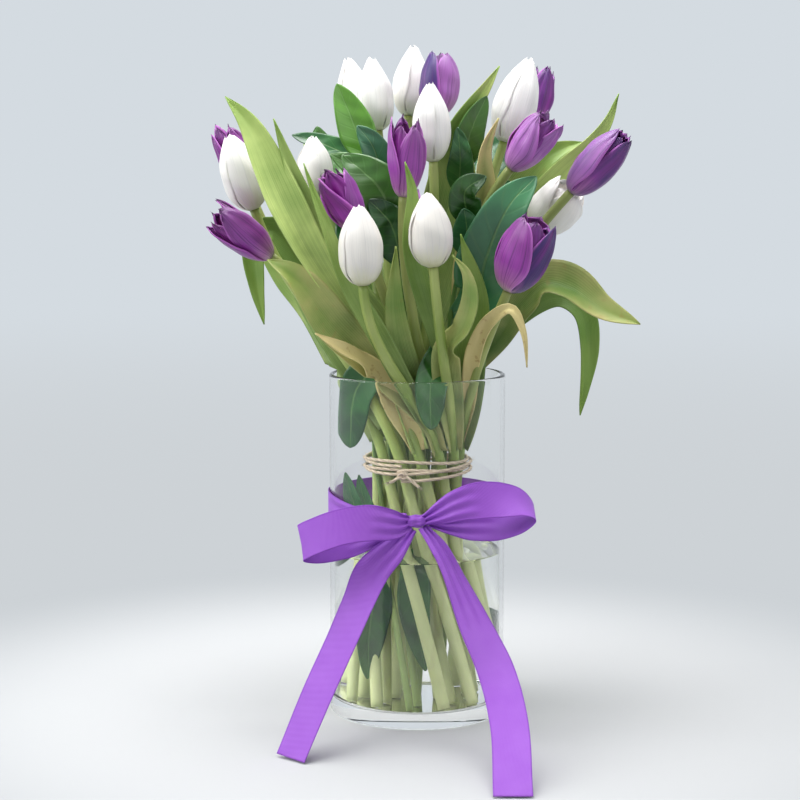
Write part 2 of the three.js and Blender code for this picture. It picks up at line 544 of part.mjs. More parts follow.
const submerged = [...plants.values()].flatMap((plant) => plant.clearance);
addPiece('glass_vase', turned(glassProfile(), VASE.sides), PALETTE.glass);
addPiece('water', geometryOf(waterSolid(submerged)), PALETTE.water);
for (const tulip of tulips) {
  const finish = tulip.name.startsWith('white') ? PALETTE.white : PALETTE.purple;
  addPiece(`tulip_stem_${tulip.name}`, geometryOf(tulip.solid), PALETTE.stem);
  addPiece(`tulip_bloom_${tulip.name}`, bloomGeometry(tulip), finish);
}
for (const sprig of sprigs) addPiece(`foliage_${sprig.name}`, geometryOf(sprig.solid), PALETTE.foliage);
addPiece('twine_tie', geometryOf(twine), PALETTE.twine);
addPiece('ribbon_band', bandGeometry(), PALETTE.ribbon);
addPiece('bow_knot', knotGeometry(), PALETTE.ribbon);
for (const [name, stations] of Object.entries(STRIPS)) addPiece(name, stripGeometry(stations), PALETTE.ribbon);

export default vase;
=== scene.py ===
"""White and purple tulips with dark greenery in a clear glass vase with a ribbon bow.

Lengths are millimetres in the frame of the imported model, unless a comment says otherwise: +Z
up, the origin under the middle of the vase, and the bow towards -Y. Meshes are made in metres.
"""

import logging
import math
from dataclasses import dataclass, field
from enum import Enum
from typing import Any, Sequence

import bpy
import numpy as np
from numpy.typing import NDArray
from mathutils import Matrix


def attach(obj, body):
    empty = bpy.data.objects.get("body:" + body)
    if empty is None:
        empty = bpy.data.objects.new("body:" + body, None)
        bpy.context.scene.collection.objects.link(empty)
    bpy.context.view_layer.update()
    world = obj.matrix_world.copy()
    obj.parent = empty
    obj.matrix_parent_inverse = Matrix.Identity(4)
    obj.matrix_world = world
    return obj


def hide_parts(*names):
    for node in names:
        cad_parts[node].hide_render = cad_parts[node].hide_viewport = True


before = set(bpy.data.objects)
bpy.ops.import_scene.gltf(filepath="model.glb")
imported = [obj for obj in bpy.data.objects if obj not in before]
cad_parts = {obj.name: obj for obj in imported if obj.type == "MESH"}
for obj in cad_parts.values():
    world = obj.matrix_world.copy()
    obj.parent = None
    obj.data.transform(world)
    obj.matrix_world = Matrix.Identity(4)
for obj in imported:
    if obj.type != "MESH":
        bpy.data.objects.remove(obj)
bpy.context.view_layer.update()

Array = NDArray[np.float64]
Material = bpy.types.Material
Object = bpy.types.Object
Socket = bpy.types.NodeSocket
Pair = tuple[float, float]
Point = tuple[float, float, float]
Colour = tuple[float, float, float, float]
Stops = tuple[tuple[float, Colour], ...]
Look = tuple[Pair, ...]
Station = tuple[Point, Point, float]

MM = 0.001
BODY = "root"
AWAY = (0.0, 1.0, 0.0)  # the way from the camera to the object
BLACK = (0.0, 0.0, 0.0, 1.0)
TIE_TOP = 191.0  # the height above which a tulip's leaves follow their stem
RIPPLES = 4  # sines in an uneven surface
SPAN_SAMPLES = 40  # samples of each span before a curve is spaced evenly
LOG = logging.getLogger("tulips")


# ------------------------------------------------------------------ layout tables


# name, tie slot, foot of the bloom, tip of the bloom, width, form, turn of the petals
TULIPS = [
    ("white_01", 22, (-114, -12, 359), (-131, -16, 410), 31, "bud", 20),
    ("white_02", 10, (-71, 16, 365), (-74, 16, 410), 27, "bud", 75),
    ("white_03", 19, (-40, 76, 414), (-51, 84, 468), 27, "bud", 10),
    ("white_04", 8, (-28, 42, 414), (-33, 46, 466), 27, "bud", 95),
    ("white_05", 7, (-6, 64, 425), (-2, 72, 477), 27, "bud", 40),
    ("white_06", 3, (11, -6, 392), (8, -8, 446), 27, "bud", 62),
    ("white_07", 6, (62, 30, 406), (81, 34, 466), 31, "bud", 30),
    ("white_08", 24, (-37, -76, 310), (-40, -80, 364), 31, "bud", 8),
    ("white_09", 25, (10, -72, 322), (6, -74, 372), 31, "bud", 110),
    ("white_10", 14, (84, 16, 344), (110, 4, 374), 36, "cup", 40),
    ("purple_01", 21, (-119, 28, 368), (-139, 30, 418), 28, "fluted", 35),
    ("purple_02", 23, (-101, -32, 327), (-142, -44, 360), 29, "fluted", 15),
    ("purple_03", 11, (-41, -45, 345), (-61, -52, 387), 29, "fluted", 70),
    ("purple_04", 12, (-10, -38, 368), (-7, -40, 421), 29, "fluted", 32),
    ("purple_05", 1, (14, 28, 424), (17, 32, 470), 31, "half", 48),
    ("purple_06", 16, (84, 68, 417), (93, 76, 460), 24, "fluted", 5),
    ("purple_07", 15, (64, -18, 387), (93, -24, 424), 31, "fluted", 80),
    ("purple_08", 5, (106, -20, 371), (143, -30, 412), 30, "half", 50),
    ("purple_09", 13, (61, -55, 305), (81, -62, 353), 38, "cup", 65),
    ("purple_10", 18, (8, 88, 322), (12, 114, 368), 29, "fluted", 25),
]

# name, tie slot, last leaf joint, end of the twig
SPRIGS = [
    ("sprig_01", 9, (-36, 18, 392), (-40, 20, 400)),
    ("sprig_02", 2, (-16, -14, 350), (-18, -16, 360)),
    ("sprig_03", 4, (40, -16, 352), (44, -18, 362)),
    ("sprig_04", 0, (34, 18, 392), (36, 20, 402)),
    ("sprig_05", 20, (-56, 62, 372), (-62, 68, 382)),
    ("sprig_06", 17, (52, 66, 376), (58, 74, 386)),
]

# how deep and how pale each petal is, outer petals first; on the white blooms the paleness is
# painted light, given most to the blooms that stand in more light
LOOKS = {
    "white_01": ((0, 0.6), (0, 0.5)),
    "white_02": ((0, 0.7), (0, 0.7)),
    "white_03": ((0, 0.8), (0, 0.9)),
    "white_04": ((0, 0.8), (0, 0.9)),
    "white_05": ((0, 0.8), (0, 0.9)),
    "white_06": ((0, 0.8), (0, 0.7)),
    "white_07": ((0, 0.9), (0, 1.0)),
    "white_10": ((0, 0.6), (0, 0.8)),
    "purple_05": ((0, 0.6), (0.3, 0.2), (1.3, 0), (0.2, 0.3), (0.5, 0), (0.6, 0)),
    "purple_06": ((0.6, 0), (0.6, 0.1)),
    "purple_07": ((0, 0.65), (0.1, 0.4), (0, 0.6), (0.3, 0), (0.3, 0), (0.3, 0)),
    "purple_08": ((0.9, 0.1), (0.6, 0.3), (0.7, 0.4), (0.7, 0), (0.7, 0), (0.9, 0)),
    "purple_02": ((0, 0.25), (0, 0.15), (0.3, 0), (-0.1, 0.1), (0, 0), (-0.1, 0.1)),
    "purple_03": ((0.1, 0.2), (0, 0.1), (0.2, 0), (-0.1, 0.1), (0, 0), (0, 0)),
    "purple_04": ((0, 0.3), (0.2, 0), (0.1, 0.1), (0, 0.1), (0.2, 0), (0, 0)),
    "purple_09": ((1.1, 0), (0.2, 0.1), (0, 0.1), (0.8, 0), (0.6, 0), (0.4, 0)),
}

# plant, height of the leaf's root on its stem, points along its midrib, full width, the
# way its upper face looks at the base and at the tip, how withered it is (0 to 1, or below
# nought for how pale a fresh one is), and the leaf's form
BLADES = [
    ("purple_02", 215, [(-26, -40, 265), (-49, -48, 294), (-71, -52, 326), (-89, -52, 360),
     (-115, -42, 416), (-131, -38, 436)], 31, (0.3, -1, 0.2), (0.5, -1, 0.3), -1.3, "flag"),
    ("purple_03", 225, [(-28, -38, 277), (-49, -42, 309), (-79, -43, 368), (-98, -44, 421)], 25,
     (0.4, -1, 0), (0.2, -1, 0), -0.8, "even"),
    ("white_08", 240, [(-26, -56, 272), (-47, -60, 310), (-65, -62, 357), (-77, -58, 391)], 15,
     (0.2, -1, 0), (0.4, -1, 0), 0, "even"),
    ("purple_01", 262, [(-88, 8, 328), (-103, 9, 344), (-114, 4, 334), (-113, -4, 305),
     (-108, -6, 278)], 20, (0, -1, 0.6), (-0.2, -1, 0.1), -0.15, "late"),
    ("white_08", 225, [(-44, -50, 266), (-58, -56, 281), (-84, -60, 315), (-102, -54, 326)], 32,
     (0.1, -1, 0.4), (0.3, -1, 0.5), 0.35, "late"),
    ("purple_02", 285, [(-68, -35, 305), (-78, -37, 328), (-84, -36, 347)], 13, (0.3, -1, 0.2),
     (0.3, -1, 0.2), 0.5, "even"),
    ("purple_02", 196, [(-8, -36, 212), (-18, -43, 232), (-33, -54, 252), (-50, -71, 266),
     (-69, -78, 278)], 22, (0, -1, 0.6), (-0.2, -0.8, 0.8), 0.8, "even"),
    ("purple_04", 212, [(-8, -38, 250), (-16, -49, 292), (-15, -53, 335)], 21, (0, -1, 0),
     (0.2, -1, 0), 0.25, "even"),
    ("white_09", 212, [(15, -34, 262), (7, -45, 291), (-4, -55, 335), (-4, -59, 372),
     (-9, -60, 392)], 15, (0, -1, 0.1), (0, -1, 0), 0, "late"),
    ("white_09", 232, [(20, -50, 264), (30, -66, 281), (35, -74, 300), (32, -80, 318),
     (22, -84, 331)], 21, (0.2, -1, 0.4), (-0.3, -0.8, 0.7), 0.3, "even"),
    ("purple_09", 222, [(36, -30, 262), (40, -40, 300), (29, -46, 343)], 25, (0, -1, 0),
     (0.1, -1, 0), 0.1, "even"),
    ("purple_09", 238, [(38, -46, 262), (48, -66, 285), (62, -76, 294), (70, -78, 280),
     (73, -77, 255)], 12, (0, -1, 0.7), (0.3, -1, 0.3), 0.95, "even"),
    ("purple_08", 240, [(57, -7, 267), (71, -13, 291), (89, -22, 308), (105, -28, 305),
     (126, -36, 291), (153, -42, 281)], 32, (0.1, -1, 0.5), (0.2, -0.9, 0.7), 0.35, "flag"),
    ("white_10", 255, [(83, 6, 290), (101, 2, 297), (116, -4, 287), (120, -8, 262),
     (115, -12, 214)], 18, (0.1, -0.8, 0.7), (0.4, -1, 0), -0.15, "late"),
    ("purple_06", 290, [(76, 36, 350), (102, 28, 382), (125, 23, 405), (136, 22, 421),
     (143, 22, 440)], 25, (0.2, -1, 0.3), (0.4, -1, 0.4), -1.0, "even"),
    ("white_07", 322, [(66, 40, 360), (89, 42, 390), (104, 45, 400), (121, 46, 406)], 26,
     (0, -1, 0.5), (0, -1, 0.6), 0.2, "late"),
    ("purple_05", 330, [(17, 14, 372), (28, 14, 412), (49, 14, 445), (58, 18, 459)], 25, (0, -1, 0),
     (0.3, -1, 0.2), 0.2, "even"),
    ("purple_07", 325, [(46, -12, 372), (47, -15, 400), (56, -14, 422)], 21, (0, -1, 0),
     (0.4, -0.9, 0), 0.55, "even"),
    ("white_06", 285, [(24, 4, 330), (34, 14, 380), (30, 14, 420)], 27, (0.2, -1, 0), (0.2, -1, 0),
     0.1, "even"),
    ("purple_10", 230, [(-22, 60, 280), (-40, 92, 330), (-52, 108, 372)], 27, (0.1, 1, 0.2),
     (0, 1, 0.3), 0.05, "even"),
    ("purple_10", 215, [(12, 60, 262), (44, 92, 300), (70, 110, 318), (84, 116, 296)], 28,
     (0, 1, 0.6), (0.2, 1, 0.6), 0.1, "even"),
    ("white_03", 240, [(-50, 62, 310), (-72, 82, 365), (-84, 90, 405)], 26, (-0.3, 1, 0),
     (0, 1, 0.2), 0.1, "even"),
    ("purple_06", 240, [(52, 66, 290), (84, 86, 335), (104, 92, 372)], 27, (0.3, 1, 0.2),
     (0, 1, 0.3), 0.05, "even"),
    ("purple_01", 240, [(-72, 32, 280), (-98, 50, 308), (-112, 54, 330), (-117, 54, 350)], 26,
     (-0.3, 1, 0.4), (-0.2, 1, 0.2), 0.2, "even"),
    ("white_04", 235, [(-7, 58, 300), (-4, 80, 355), (-14, 94, 400)], 30, (0.1, 1, 0), (0, 1, 0.1),
     0, "even"),
    ("white_10", 232, [(57, 38, 270), (92, 54, 302), (122, 58, 296)], 21, (0.2, 0.6, 0.8),
     (0.3, 0.6, 0.7), 0.15, "even"),
    ("white_02", 240, [(-56, 16, 290), (-84, 40, 340), (-98, 56, 372)], 23, (-0.5, 1, 0.2),
     (-0.2, 1, 0.2), 0, "even"),
    ("white_05", 250, [(8, 56, 320), (22, 72, 380), (30, 84, 412)], 22, (0, 1, 0), (0.2, 1, 0), 0.1,
     "even"),
    ("purple_08", 222, [(44, 24, 262), (72, 50, 310), (90, 60, 352)], 24, (0.6, 1, 0.2),
     (0.4, 1, 0.2), 0, "even"),
    ("white_01", 250, [(-74, 2, 292), (-104, 34, 340), (-120, 44, 352)], 22, (-0.5, 1, 0.2),
     (-0.3, 1, 0.4), 0.1, "even"),
]

# The same columns for the leaves of the greenery, with how bluish each is, or below nought
# for how light a green it is.
OVALS = [
    ("sprig_01", 388, [(-46, 20, 421), (-57, 24, 447)], 24, (0.2, -1, 0.1), (0.3, -1, 0.2), -0.9,
     "oval"),
    ("sprig_01", 368, [(-50, 30, 396), (-72, 34, 406), (-90, 38, 411)], 18, (0, -1, 0.6),
     (0, -1, 0.6), 0.2, "oval"),
    ("sprig_01", 360, [(-30, -4, 400), (-42, -6, 417)], 22, (0.2, -1, 0), (0.2, -1, 0.2), 0.9,
     "oval"),
    ("sprig_01", 345, [(-46, 0, 388), (-61, -2, 397)], 22, (0, -0.9, 0.5), (0, -0.9, 0.5), -0.4,
     "oval"),
    ("sprig_02", 340, [(-26, -24, 373), (-52, -22, 397)], 32, (0.1, -1, 0.3), (0.3, -0.9, 0.4),
     -0.3, "oval"),
    ("sprig_02", 318, [(-19, -27, 350), (-34, -30, 366)], 26, (0.2, -1, 0.2), (0.2, -1, 0.2), 0.0,
     "oval"),
    ("sprig_03", 285, [(42, -26, 299), (46, -32, 322), (62, -42, 362), (81, -38, 382)], 36,
     (0, -1, 0.2), (0.2, -1, 0.5), 0.9, "oval"),
    ("sprig_03", 326, [(34, -22, 344), (32, -27, 360)], 20, (0, -1, 0.2), (0, -1, 0.2), 0.5,
     "oval"),
    ("sprig_03", 345, [(33, -26, 372), (47, -32, 382)], 20, (-0.2, -1, 0.3), (0, -1, 0.3), -0.1,
     "oval"),
    ("sprig_03", 262, [(16, -34, 258), (9, -46, 241), (9, -49, 209)], 22, (0.3, -1, 0.2),
     (0.2, -1, 0), -0.05, "paddle"),
    ("sprig_04", 382, [(38, 10, 414), (49, 12, 438)], 19, (0.3, -1, 0), (0.3, -1, 0.2), -0.4,
     "oval"),
    ("sprig_04", 366, [(30, 0, 396), (28, 0, 416)], 17, (0, -1, 0), (0, -1, 0), 0.1, "oval"),
    ("sprig_04", 340, [(44, 12, 362), (66, 8, 378)], 24, (0, -0.8, 0.6), (0, -0.8, 0.6), 0.3,
     "oval"),
    ("sprig_05", 366, [(-68, 76, 396), (-74, 82, 418)], 24, (-0.2, 1, 0.2), (-0.2, 1, 0.2), -0.3,
     "oval"),
    ("sprig_05", 345, [(-70, 62, 366), (-94, 70, 376)], 26, (0, 0.8, 0.7), (0, 0.8, 0.7), 0.5,
     "oval"),
    ("sprig_05", 325, [(-48, 68, 344), (-58, 90, 352)], 26, (-0.3, 0.8, 0.6), (-0.3, 0.8, 0.6), 0.2,
     "oval"),
    ("sprig_05", 300, [(-56, 44, 318), (-80, 58, 322)], 24, (-0.2, 0.7, 0.8), (-0.2, 0.7, 0.8), 0.6,
     "oval"),
    ("sprig_06", 370, [(60, 84, 398), (66, 92, 420)], 24, (0.2, 1, 0.2), (0.2, 1, 0.2), 0.3,
     "oval"),
    ("sprig_06", 350, [(48, 78, 362), (58, 98, 374)], 26, (0, 0.9, 0.6), (0, 0.9, 0.6), 0.5,
     "oval"),
    ("sprig_06", 325, [(22, 70, 340), (34, 96, 350)], 26, (0, 0.9, 0.6), (0, 0.9, 0.6), 0.2,
     "oval"),
    ("sprig_06", 300, [(34, 58, 314), (58, 76, 322)], 24, (0.3, 0.9, 0.6), (0.3, 0.9, 0.6), 0.4,
     "oval"),
    ("sprig_01", 262, [(-32, -25, 248), (-43, -25, 232), (-47, -18, 192)], 25, (-0.3, -1, 0),
     (-0.2, -1, 0), 0.15, "paddle"),
    ("sprig_01", 108, [(-38, -29, 137), (-45, -26, 156), (-50, -22, 175)], 14, (0.1, -1, 0),
     (0.1, -1, 0), 0.3, "oval"),
    ("sprig_01", 118, [(-32, -26, 142), (-38, -23, 158), (-41, -20, 173)], 12, (0.1, -1, 0),
     (0.1, -1, 0), 0.2, "oval"),
    ("sprig_05", 112, [(-26, -30, 92), (-31, -33, 60), (-32, -33, 30)], 22, (0.1, -1, 0.1),
     (0.2, -1, 0), -0.1, "oval"),
    ("sprig_02", 118, [(-2, -27, 105), (-2, -30, 80), (5, -30, 36)], 18, (0, -1, 0), (0, -1, 0),
     -0.1, "oval"),
    ("sprig_04", 84, [(26, 30, 60), (34, 36, 34)], 20, (0.3, 1, 0), (0.3, 1, 0), 0.2, "oval"),
    ("sprig_06", 130, [(-34, 36, 112), (-38, 42, 80)], 20, (-0.3, 1, 0), (-0.3, 1, 0), 0.2, "oval"),
]

# Ribbon strips: centre, the way the strip's width runs, and the width there.
STRIPS = {
    "bow_loop_left": [
        ((-5.5, -71.5, 148.6), (0, 0, 1), 8), ((-12, -75.5, 147.4), (0, 0.1, 1), 17.5),
        ((-20, -80, 148.4), (0, 0.2, 1), 22),
        ((-32, -85, 150.5), (0, 0.35, 0.95), 25), ((-50, -89, 149), (-0.05, 0.42, 0.9), 25),
        ((-68, -89, 143), (-0.15, 0.42, 0.9), 25), ((-79, -82, 136), (-0.2, 0.4, 0.9), 25),
        ((-69, -75, 133), (-0.1, 0.42, 0.9), 25), ((-48, -71.5, 136), (0, 0.42, 0.9), 25),
        ((-22, -69.5, 143.5), (0, 0.2, 1), 16), ((-9.8, -69, 148), (0, 0, 1), 6),
    ],
    "bow_loop_right": [
        ((3.8, -71.5, 149.6), (0, 0, 1), 7), ((15.5, -79, 156.4), (-0.25, 0.1, 1), 16),
        ((25, -84.5, 161.8), (-0.2, 0.1, 1), 21),
        ((39, -87, 166), (-0.1, 0.2, 1), 25), ((55, -86, 166.5), (-0.1, 0.45, 0.88), 25),
        ((70, -83.5, 164), (-0.05, 0.75, 0.6), 25), ((78.8, -81.5, 156.5), (0, 0.97, 0.2), 25),
        ((71, -79.5, 150), (0, 0.93, 0.35), 25), ((54, -74.5, 147.5), (0, 0.62, 0.78), 25),
        ((34, -71, 147), (0, 0.3, 0.95), 22), ((20, -69.8, 147), (0, 0.2, 1), 13),
        ((7.9, -69, 148), (0, 0, 1), 6),
    ],
    "ribbon_tail_left": [
        ((-4.5, -71.3, 144.5), (1, -0.1, 0), 8), ((-17, -78, 131), (0.95, -0.2, -0.2), 19),
        ((-31.5, -82, 116), (0.87, -0.35, -0.3), 25), ((-40, -88, 98), (0.8, -0.55, -0.2), 25),
        ((-51.5, -98, 73), (0.79, -0.6, -0.14), 25), ((-67, -113, 41), (0.79, -0.6, -0.14), 25),
        ((-84.5, -130.5, 1.5), (0.79, -0.62, 0), 25),
    ],
    "ribbon_tail_right": [
        ((3.5, -71.5, 145.2), (0.8, 0.5, -0.1), 8), ((15, -80, 132), (0.45, 0.8, 0.35), 17),
        ((25.5, -88, 112), (0.4, 0.86, 0.3), 23), ((38.5, -105, 84), (0.75, 0.6, 0.3), 25),
        ((51, -124, 59), (0.9, 0.35, 0.35), 25), ((58, -158, 33), (0.92, 0.2, 0.3), 25),
        ((58, -207, 1), (1, 0, 0), 25),
    ],
}


# ------------------------------------------------------------------ small helpers

def unit(vectors: Array) -> Array:
    """Vectors along the last axis, each divided by its own length."""
    return vectors / np.maximum(np.linalg.norm(vectors, axis=-1, keepdims=True), 1e-12)


def squared(vectors: Array, along: Array) -> Array:
    """Unit vectors less their share along the given unit directions, so square to them."""
    return unit(vectors - along * np.sum(vectors * along, axis=1, keepdims=True))


def round_turn(count: int) -> Array:
    """Equal angles round a full turn, starting at nought."""
    return np.linspace(0, 2 * math.pi, count, endpoint=False)


def lengths_along(curve: Array) -> Array:
    """The length of a curve up to each of its points."""
    return np.concatenate([[0], np.cumsum(np.linalg.norm(np.diff(curve, axis=0), axis=1))])


def tone(red: int, green: int, blue: int) -> Colour:
    """A display colour as the linear colour that shaders take.

    Args:
        red: Its red, from 0 to 255.
        green: Its green.
        blue: Its blue.

    Returns:
        The linear colour, opaque.
    """
    shares = np.array([red, green, blue]) / 255
    linear = np.where(shares <= 0.04045, shares / 12.92, ((shares + 0.055) / 1.055) ** 2.4)
    return (*(float(value) for value in linear), 1.0)


def smooth_step(low: float, high: float, values: Array) -> Array:
    """Nought below low, one above high, and 3t^2 - 2t^3 between them."""
    share = np.clip((values - low) / (high - low), 0, 1)
    return share * share * (3 - 2 * share)


def opening(share: Array, late: float = 1.0) -> Array:
    """A quarter sine of the share raised to late: nought at 0 and one from 1 on."""
    return np.sin(math.pi / 2 * np.clip(share, 0, 1) ** late)


def closing(u: Array, taper: float, point: float) -> Array:
    """The width (1 - u^taper)^point, which narrows to nought where u is 1."""
    return np.clip(1 - u ** taper, 0, 1) ** point


def catmull(points: Sequence[Sequence[float]], count: int) -> Array:
    """A centripetal Catmull-Rom curve through points, at equal steps of arc length.

    Each span is the cubic Hermite curve whose end tangents come from the square roots of the
    distances to the neighbouring points.

    Args:
        points: The points that the curve goes through.
        count: How many points to return.

    Returns:
        An array of count points.
    """
    knots = np.array(points, dtype=float)
    knots = np.vstack([2 * knots[0] - knots[1], knots, 2 * knots[-1] - knots[-2]])
    gaps = np.sqrt(np.linalg.norm(np.diff(knots, axis=0), axis=1))[:, None]
    before, middle, after = gaps[:-2], gaps[1:-1], gaps[2:]
    p0, p1, p2, p3 = knots[:-3], knots[1:-2], knots[2:-1], knots[3:]
    leave = ((p1 - p0) / before - (p2 - p0) / (before + middle) + (p2 - p1) / middle) * middle
    arrive = ((p2 - p1) / middle - (p3 - p1) / (middle + after) + (p3 - p2) / after) * middle
    t = np.linspace(0, 1, SPAN_SAMPLES, endpoint=False)[None, :, None]
    curve = ((2 * t**3 - 3 * t**2 + 1) * p1[:, None] + (t**3 - 2 * t**2 + t) * leave[:, None]
             + (3 * t**2 - 2 * t**3) * p2[:, None] + (t**3 - t**2) * arrive[:, None])
    return respaced(np.vstack([curve.reshape(-1, 3), knots[-2]]), count)


def respaced(curve: Array, count: int) -> Array:
    """The same curve at equal steps of arc length.

    Args:
        curve: Its points, n by three.
        count: How many points to return.

    Returns:
        An array of count points, each between two of the curve's own.
    """
    lengths = lengths_along(curve)
    places = np.linspace(0, lengths[-1], count)
    return np.stack([np.interp(places, lengths, curve[:, axis]) for axis in range(3)], axis=1)


def ripple(u: Array, v: Array, seed: int) -> Array:
    """A smooth uneven surface: a sum of sines over u and v, over the root of their number.

    Args:
        u: The place along the piece.
        v: The place across it.
        seed: What draws the sines' pitches and phases.

    Returns:
        Heights of about -1 to 1.
    """
    draw = np.random.default_rng(seed)
    pitch = draw.uniform(0.6, 3.0, (RIPPLES, 2)) * 2
    phase = draw.uniform(0, 2 * math.pi, RIPPLES)
    terms = [np.sin(pitch[k, 0] * u * math.pi + pitch[k, 1] * v + phase[k]) for k in range(RIPPLES)]
    return sum(terms) / math.sqrt(RIPPLES)


# ------------------------------------------------------------------ meshes

@dataclass
class Patch:
    """A grid of points with its own UV grid, open or closed round its second direction."""

    points: Array  # the grid, rows by columns by three, in millimetres
    uv: Array  # uV for each corner, with one more column than points where the grid is closed
    closed: bool = False  # whether the last column joins the first
    capped: bool = False  # whether the first and last rows are closed with a face
    # two numbers for the whole patch, whose meaning is its finish's own
    tint: tuple[float, float] = (0.0, 0.0)


def uv_grid(rows: Array, columns: Array) -> Array:
    """A UV for each pair of a column value, across, and a row value, along."""
    along, across = np.meshgrid(rows, columns, indexing="ij")
    return np.stack([across, along], axis=-1)


def mesh_object(name: str, patches: Sequence[Patch],
                finish: Material) -> Object:
    """Makes one object of patches, with its UV map, its tint attribute and smooth faces.

    Quads join each row to the next, so corner (i, j) meets (i, j+1), (i+1, j+1) and
    (i+1, j). Caps are single faces over the first and last rows.

    Args:
        name: The object's name.
        patches: Its patches.
        finish: Its material.

    Returns:
        The object, linked to the scene, at the origin.
    """
    points, faces, corners_uv, tints, first = [], [], [], [], 0
    for patch in patches:
        rows, columns = patch.points.shape[:2]
        index = first + np.arange(rows * columns).reshape(rows, columns)
        wrapped = np.hstack([index, index[:, :1]]) if patch.closed else index
        quads, quad_uv = (
            np.stack([grid[:-1, :-1], grid[:-1, 1:], grid[1:, 1:], grid[1:, :-1]], axis=2)
            for grid in (wrapped, patch.uv))
        faces.extend(quads.reshape(-1, 4).tolist())
        corners_uv.append(quad_uv.reshape(-1, 2))
        if patch.capped:
            for row, turn in ((0, -1), (-1, 1)):
                faces.append(index[row][::turn].tolist())
                corners_uv.append(patch.uv[row, :columns][::turn])
        points.append(patch.points.reshape(-1, 3) * MM)
        tints.append(np.tile([*patch.tint, 0.0, 1.0], (rows * columns, 1)))
        first += rows * columns
    mesh = bpy.data.meshes.new(name)
    mesh.from_pydata(np.vstack(points).tolist(), [], faces)
    mesh.uv_layers.new(name="UVMap").data.foreach_set("uv", np.vstack(corners_uv).ravel())
    tint = mesh.color_attributes.new("tint", "FLOAT_COLOR", "POINT")
    tint.data.foreach_set("color", np.vstack(tints).ravel())
    mesh.polygons.foreach_set("use_smooth", np.ones(len(mesh.polygons), dtype=bool))
    mesh.materials.append(finish)
    mesh.update()
    piece = bpy.data.objects.new(name, mesh)
    bpy.context.scene.collection.objects.link(piece)
    return piece


def tube(centres: Array, radii: Array, across: Array,
         tint: tuple[float, float] = (0.0, 0.0)) -> Patch:
    """A closed tube round a path.

    A point at angle a is centre + r (cos a * across + sin a * up), where up is the path's
    direction crossed with across.

    Args:
        centres: The path, n by three.
        radii: The radius at each step and angle, n by m.
        across: A direction roughly square to the path, for all of it or at each step.
        tint: The patch's tint.

    Returns:
        The patch, capped at both ends.
    """
    along = unit(np.gradient(centres, axis=0))
    across = squared(np.broadcast_to(across, centres.shape), along)
    up = np.cross(along, across)
    sides = radii.shape[1]
    angles = round_turn(sides)[None, :, None]
    spokes = across[:, None] * np.cos(angles) + up[:, None] * np.sin(angles)
    points = centres[:, None] + spokes * radii[:, :, None]
    uv = uv_grid(lengths_along(centres), np.linspace(0, 1, sides + 1))
    return Patch(points, uv, True, True, tint)


def turned(profile: Array, sides: int, capped: bool) -> Patch:
    """A surface of revolution: (r cos a, r sin a, z) at each angle a round Z.

    Args:
        profile: Pairs of a radius and a height.
        sides: How many angles there are.
        capped: Whether its two ends are closed.

    Returns:
        The patch.
    """
    radii, heights = profile[:, :1], profile[:, 1:]
    angles = round_turn(sides)
    points = np.stack([
        radii * np.cos(angles), radii * np.sin(angles), np.repeat(heights, sides, axis=1)], axis=-1)
    uv = uv_grid(lengths_along(profile), np.linspace(0, 1, sides + 1))
    return Patch(points, uv, True, capped)


def make_piece(name: str, patches: Sequence[Patch], finish: Material,
               node: str, thickness: float = 0.0) -> Object:
    """Makes a piece, rides it on the body, says which node it stands for, and reports it.

    Args:
        name: The piece's name.
        patches: Its patches.
        finish: Its material.
        node: The CAD node that the piece replaces.
        thickness: A sheet's thickness in millimetres, half of it to either side.

    Returns:
        The piece.
    """
    piece = mesh_object(name, patches, finish)
    if thickness:
        wall = piece.modifiers.new("wall", "SOLIDIFY")
        wall.thickness, wall.offset = thickness * MM, 0
    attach(piece, BODY)
    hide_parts(node)
    LOG.info("%s: %d faces, stands for %s", name, len(piece.data.polygons), node)
    return piece


# ------------------------------------------------------------------ shaders

class Value:
    """A number that varies over a surface. Arithmetic on it adds Math nodes."""

    def __init__(self, paint: "Paint", socket: Socket) -> None:
        """Wraps an output socket of a paint's node tree."""
        self.paint, self.socket = paint, socket

    def _math(self, operation: str, *items: Any) -> "Value":
        """Adds one Math node over the given values or plain numbers."""
        node = self.paint.add("ShaderNodeMath", {"operation": operation}, dict(enumerate(items)))
        return Value(self.paint, node.outputs[0])

    def __add__(self, other: Any) -> "Value":
        """self + other."""
        return self._math("ADD", self, other)

    __radd__ = __add__

    def __sub__(self, other: Any) -> "Value":
        """self - other."""
        return self._math("SUBTRACT", self, other)

    def __rsub__(self, other: Any) -> "Value":
        """other - self."""
        return self._math("SUBTRACT", other, self)

    def __mul__(self, other: Any) -> "Value":
        """self * other."""
        return self._math("MULTIPLY", self, other)

    __rmul__ = __mul__

    def __pow__(self, other: Any) -> "Value":
        """self raised to other."""
        return self._math("POWER", self, other)

    def size(self) -> "Value":
        """self without its sign."""
        return self._math("ABSOLUTE", self)

    def sine(self) -> "Value":
        """The sine of self."""
        return self._math("SINE", self)

    def wave(self) -> "Value":
        """The sine of self, brought from -1 to 1 into 0 to 1."""
        return (self.sine() + 1.0) * 0.5

    def step(self, low: float, high: float) -> "Value":
        """A smooth step.

        Args:
            low: The value at which the step is nought.
            high: The value at which it is one. It may be the lower of the two.

        Returns:
            The step's height, from 0 to 1.
        """
        node = self.paint.add(
            "ShaderNodeMapRange", {"interpolation_type": "SMOOTHSTEP"},
            {"Value": self, "From Min": min(low, high), "From Max": max(low, high)})
        rising = Value(self.paint, node.outputs[0])
        return rising if low < high else 1 - rising


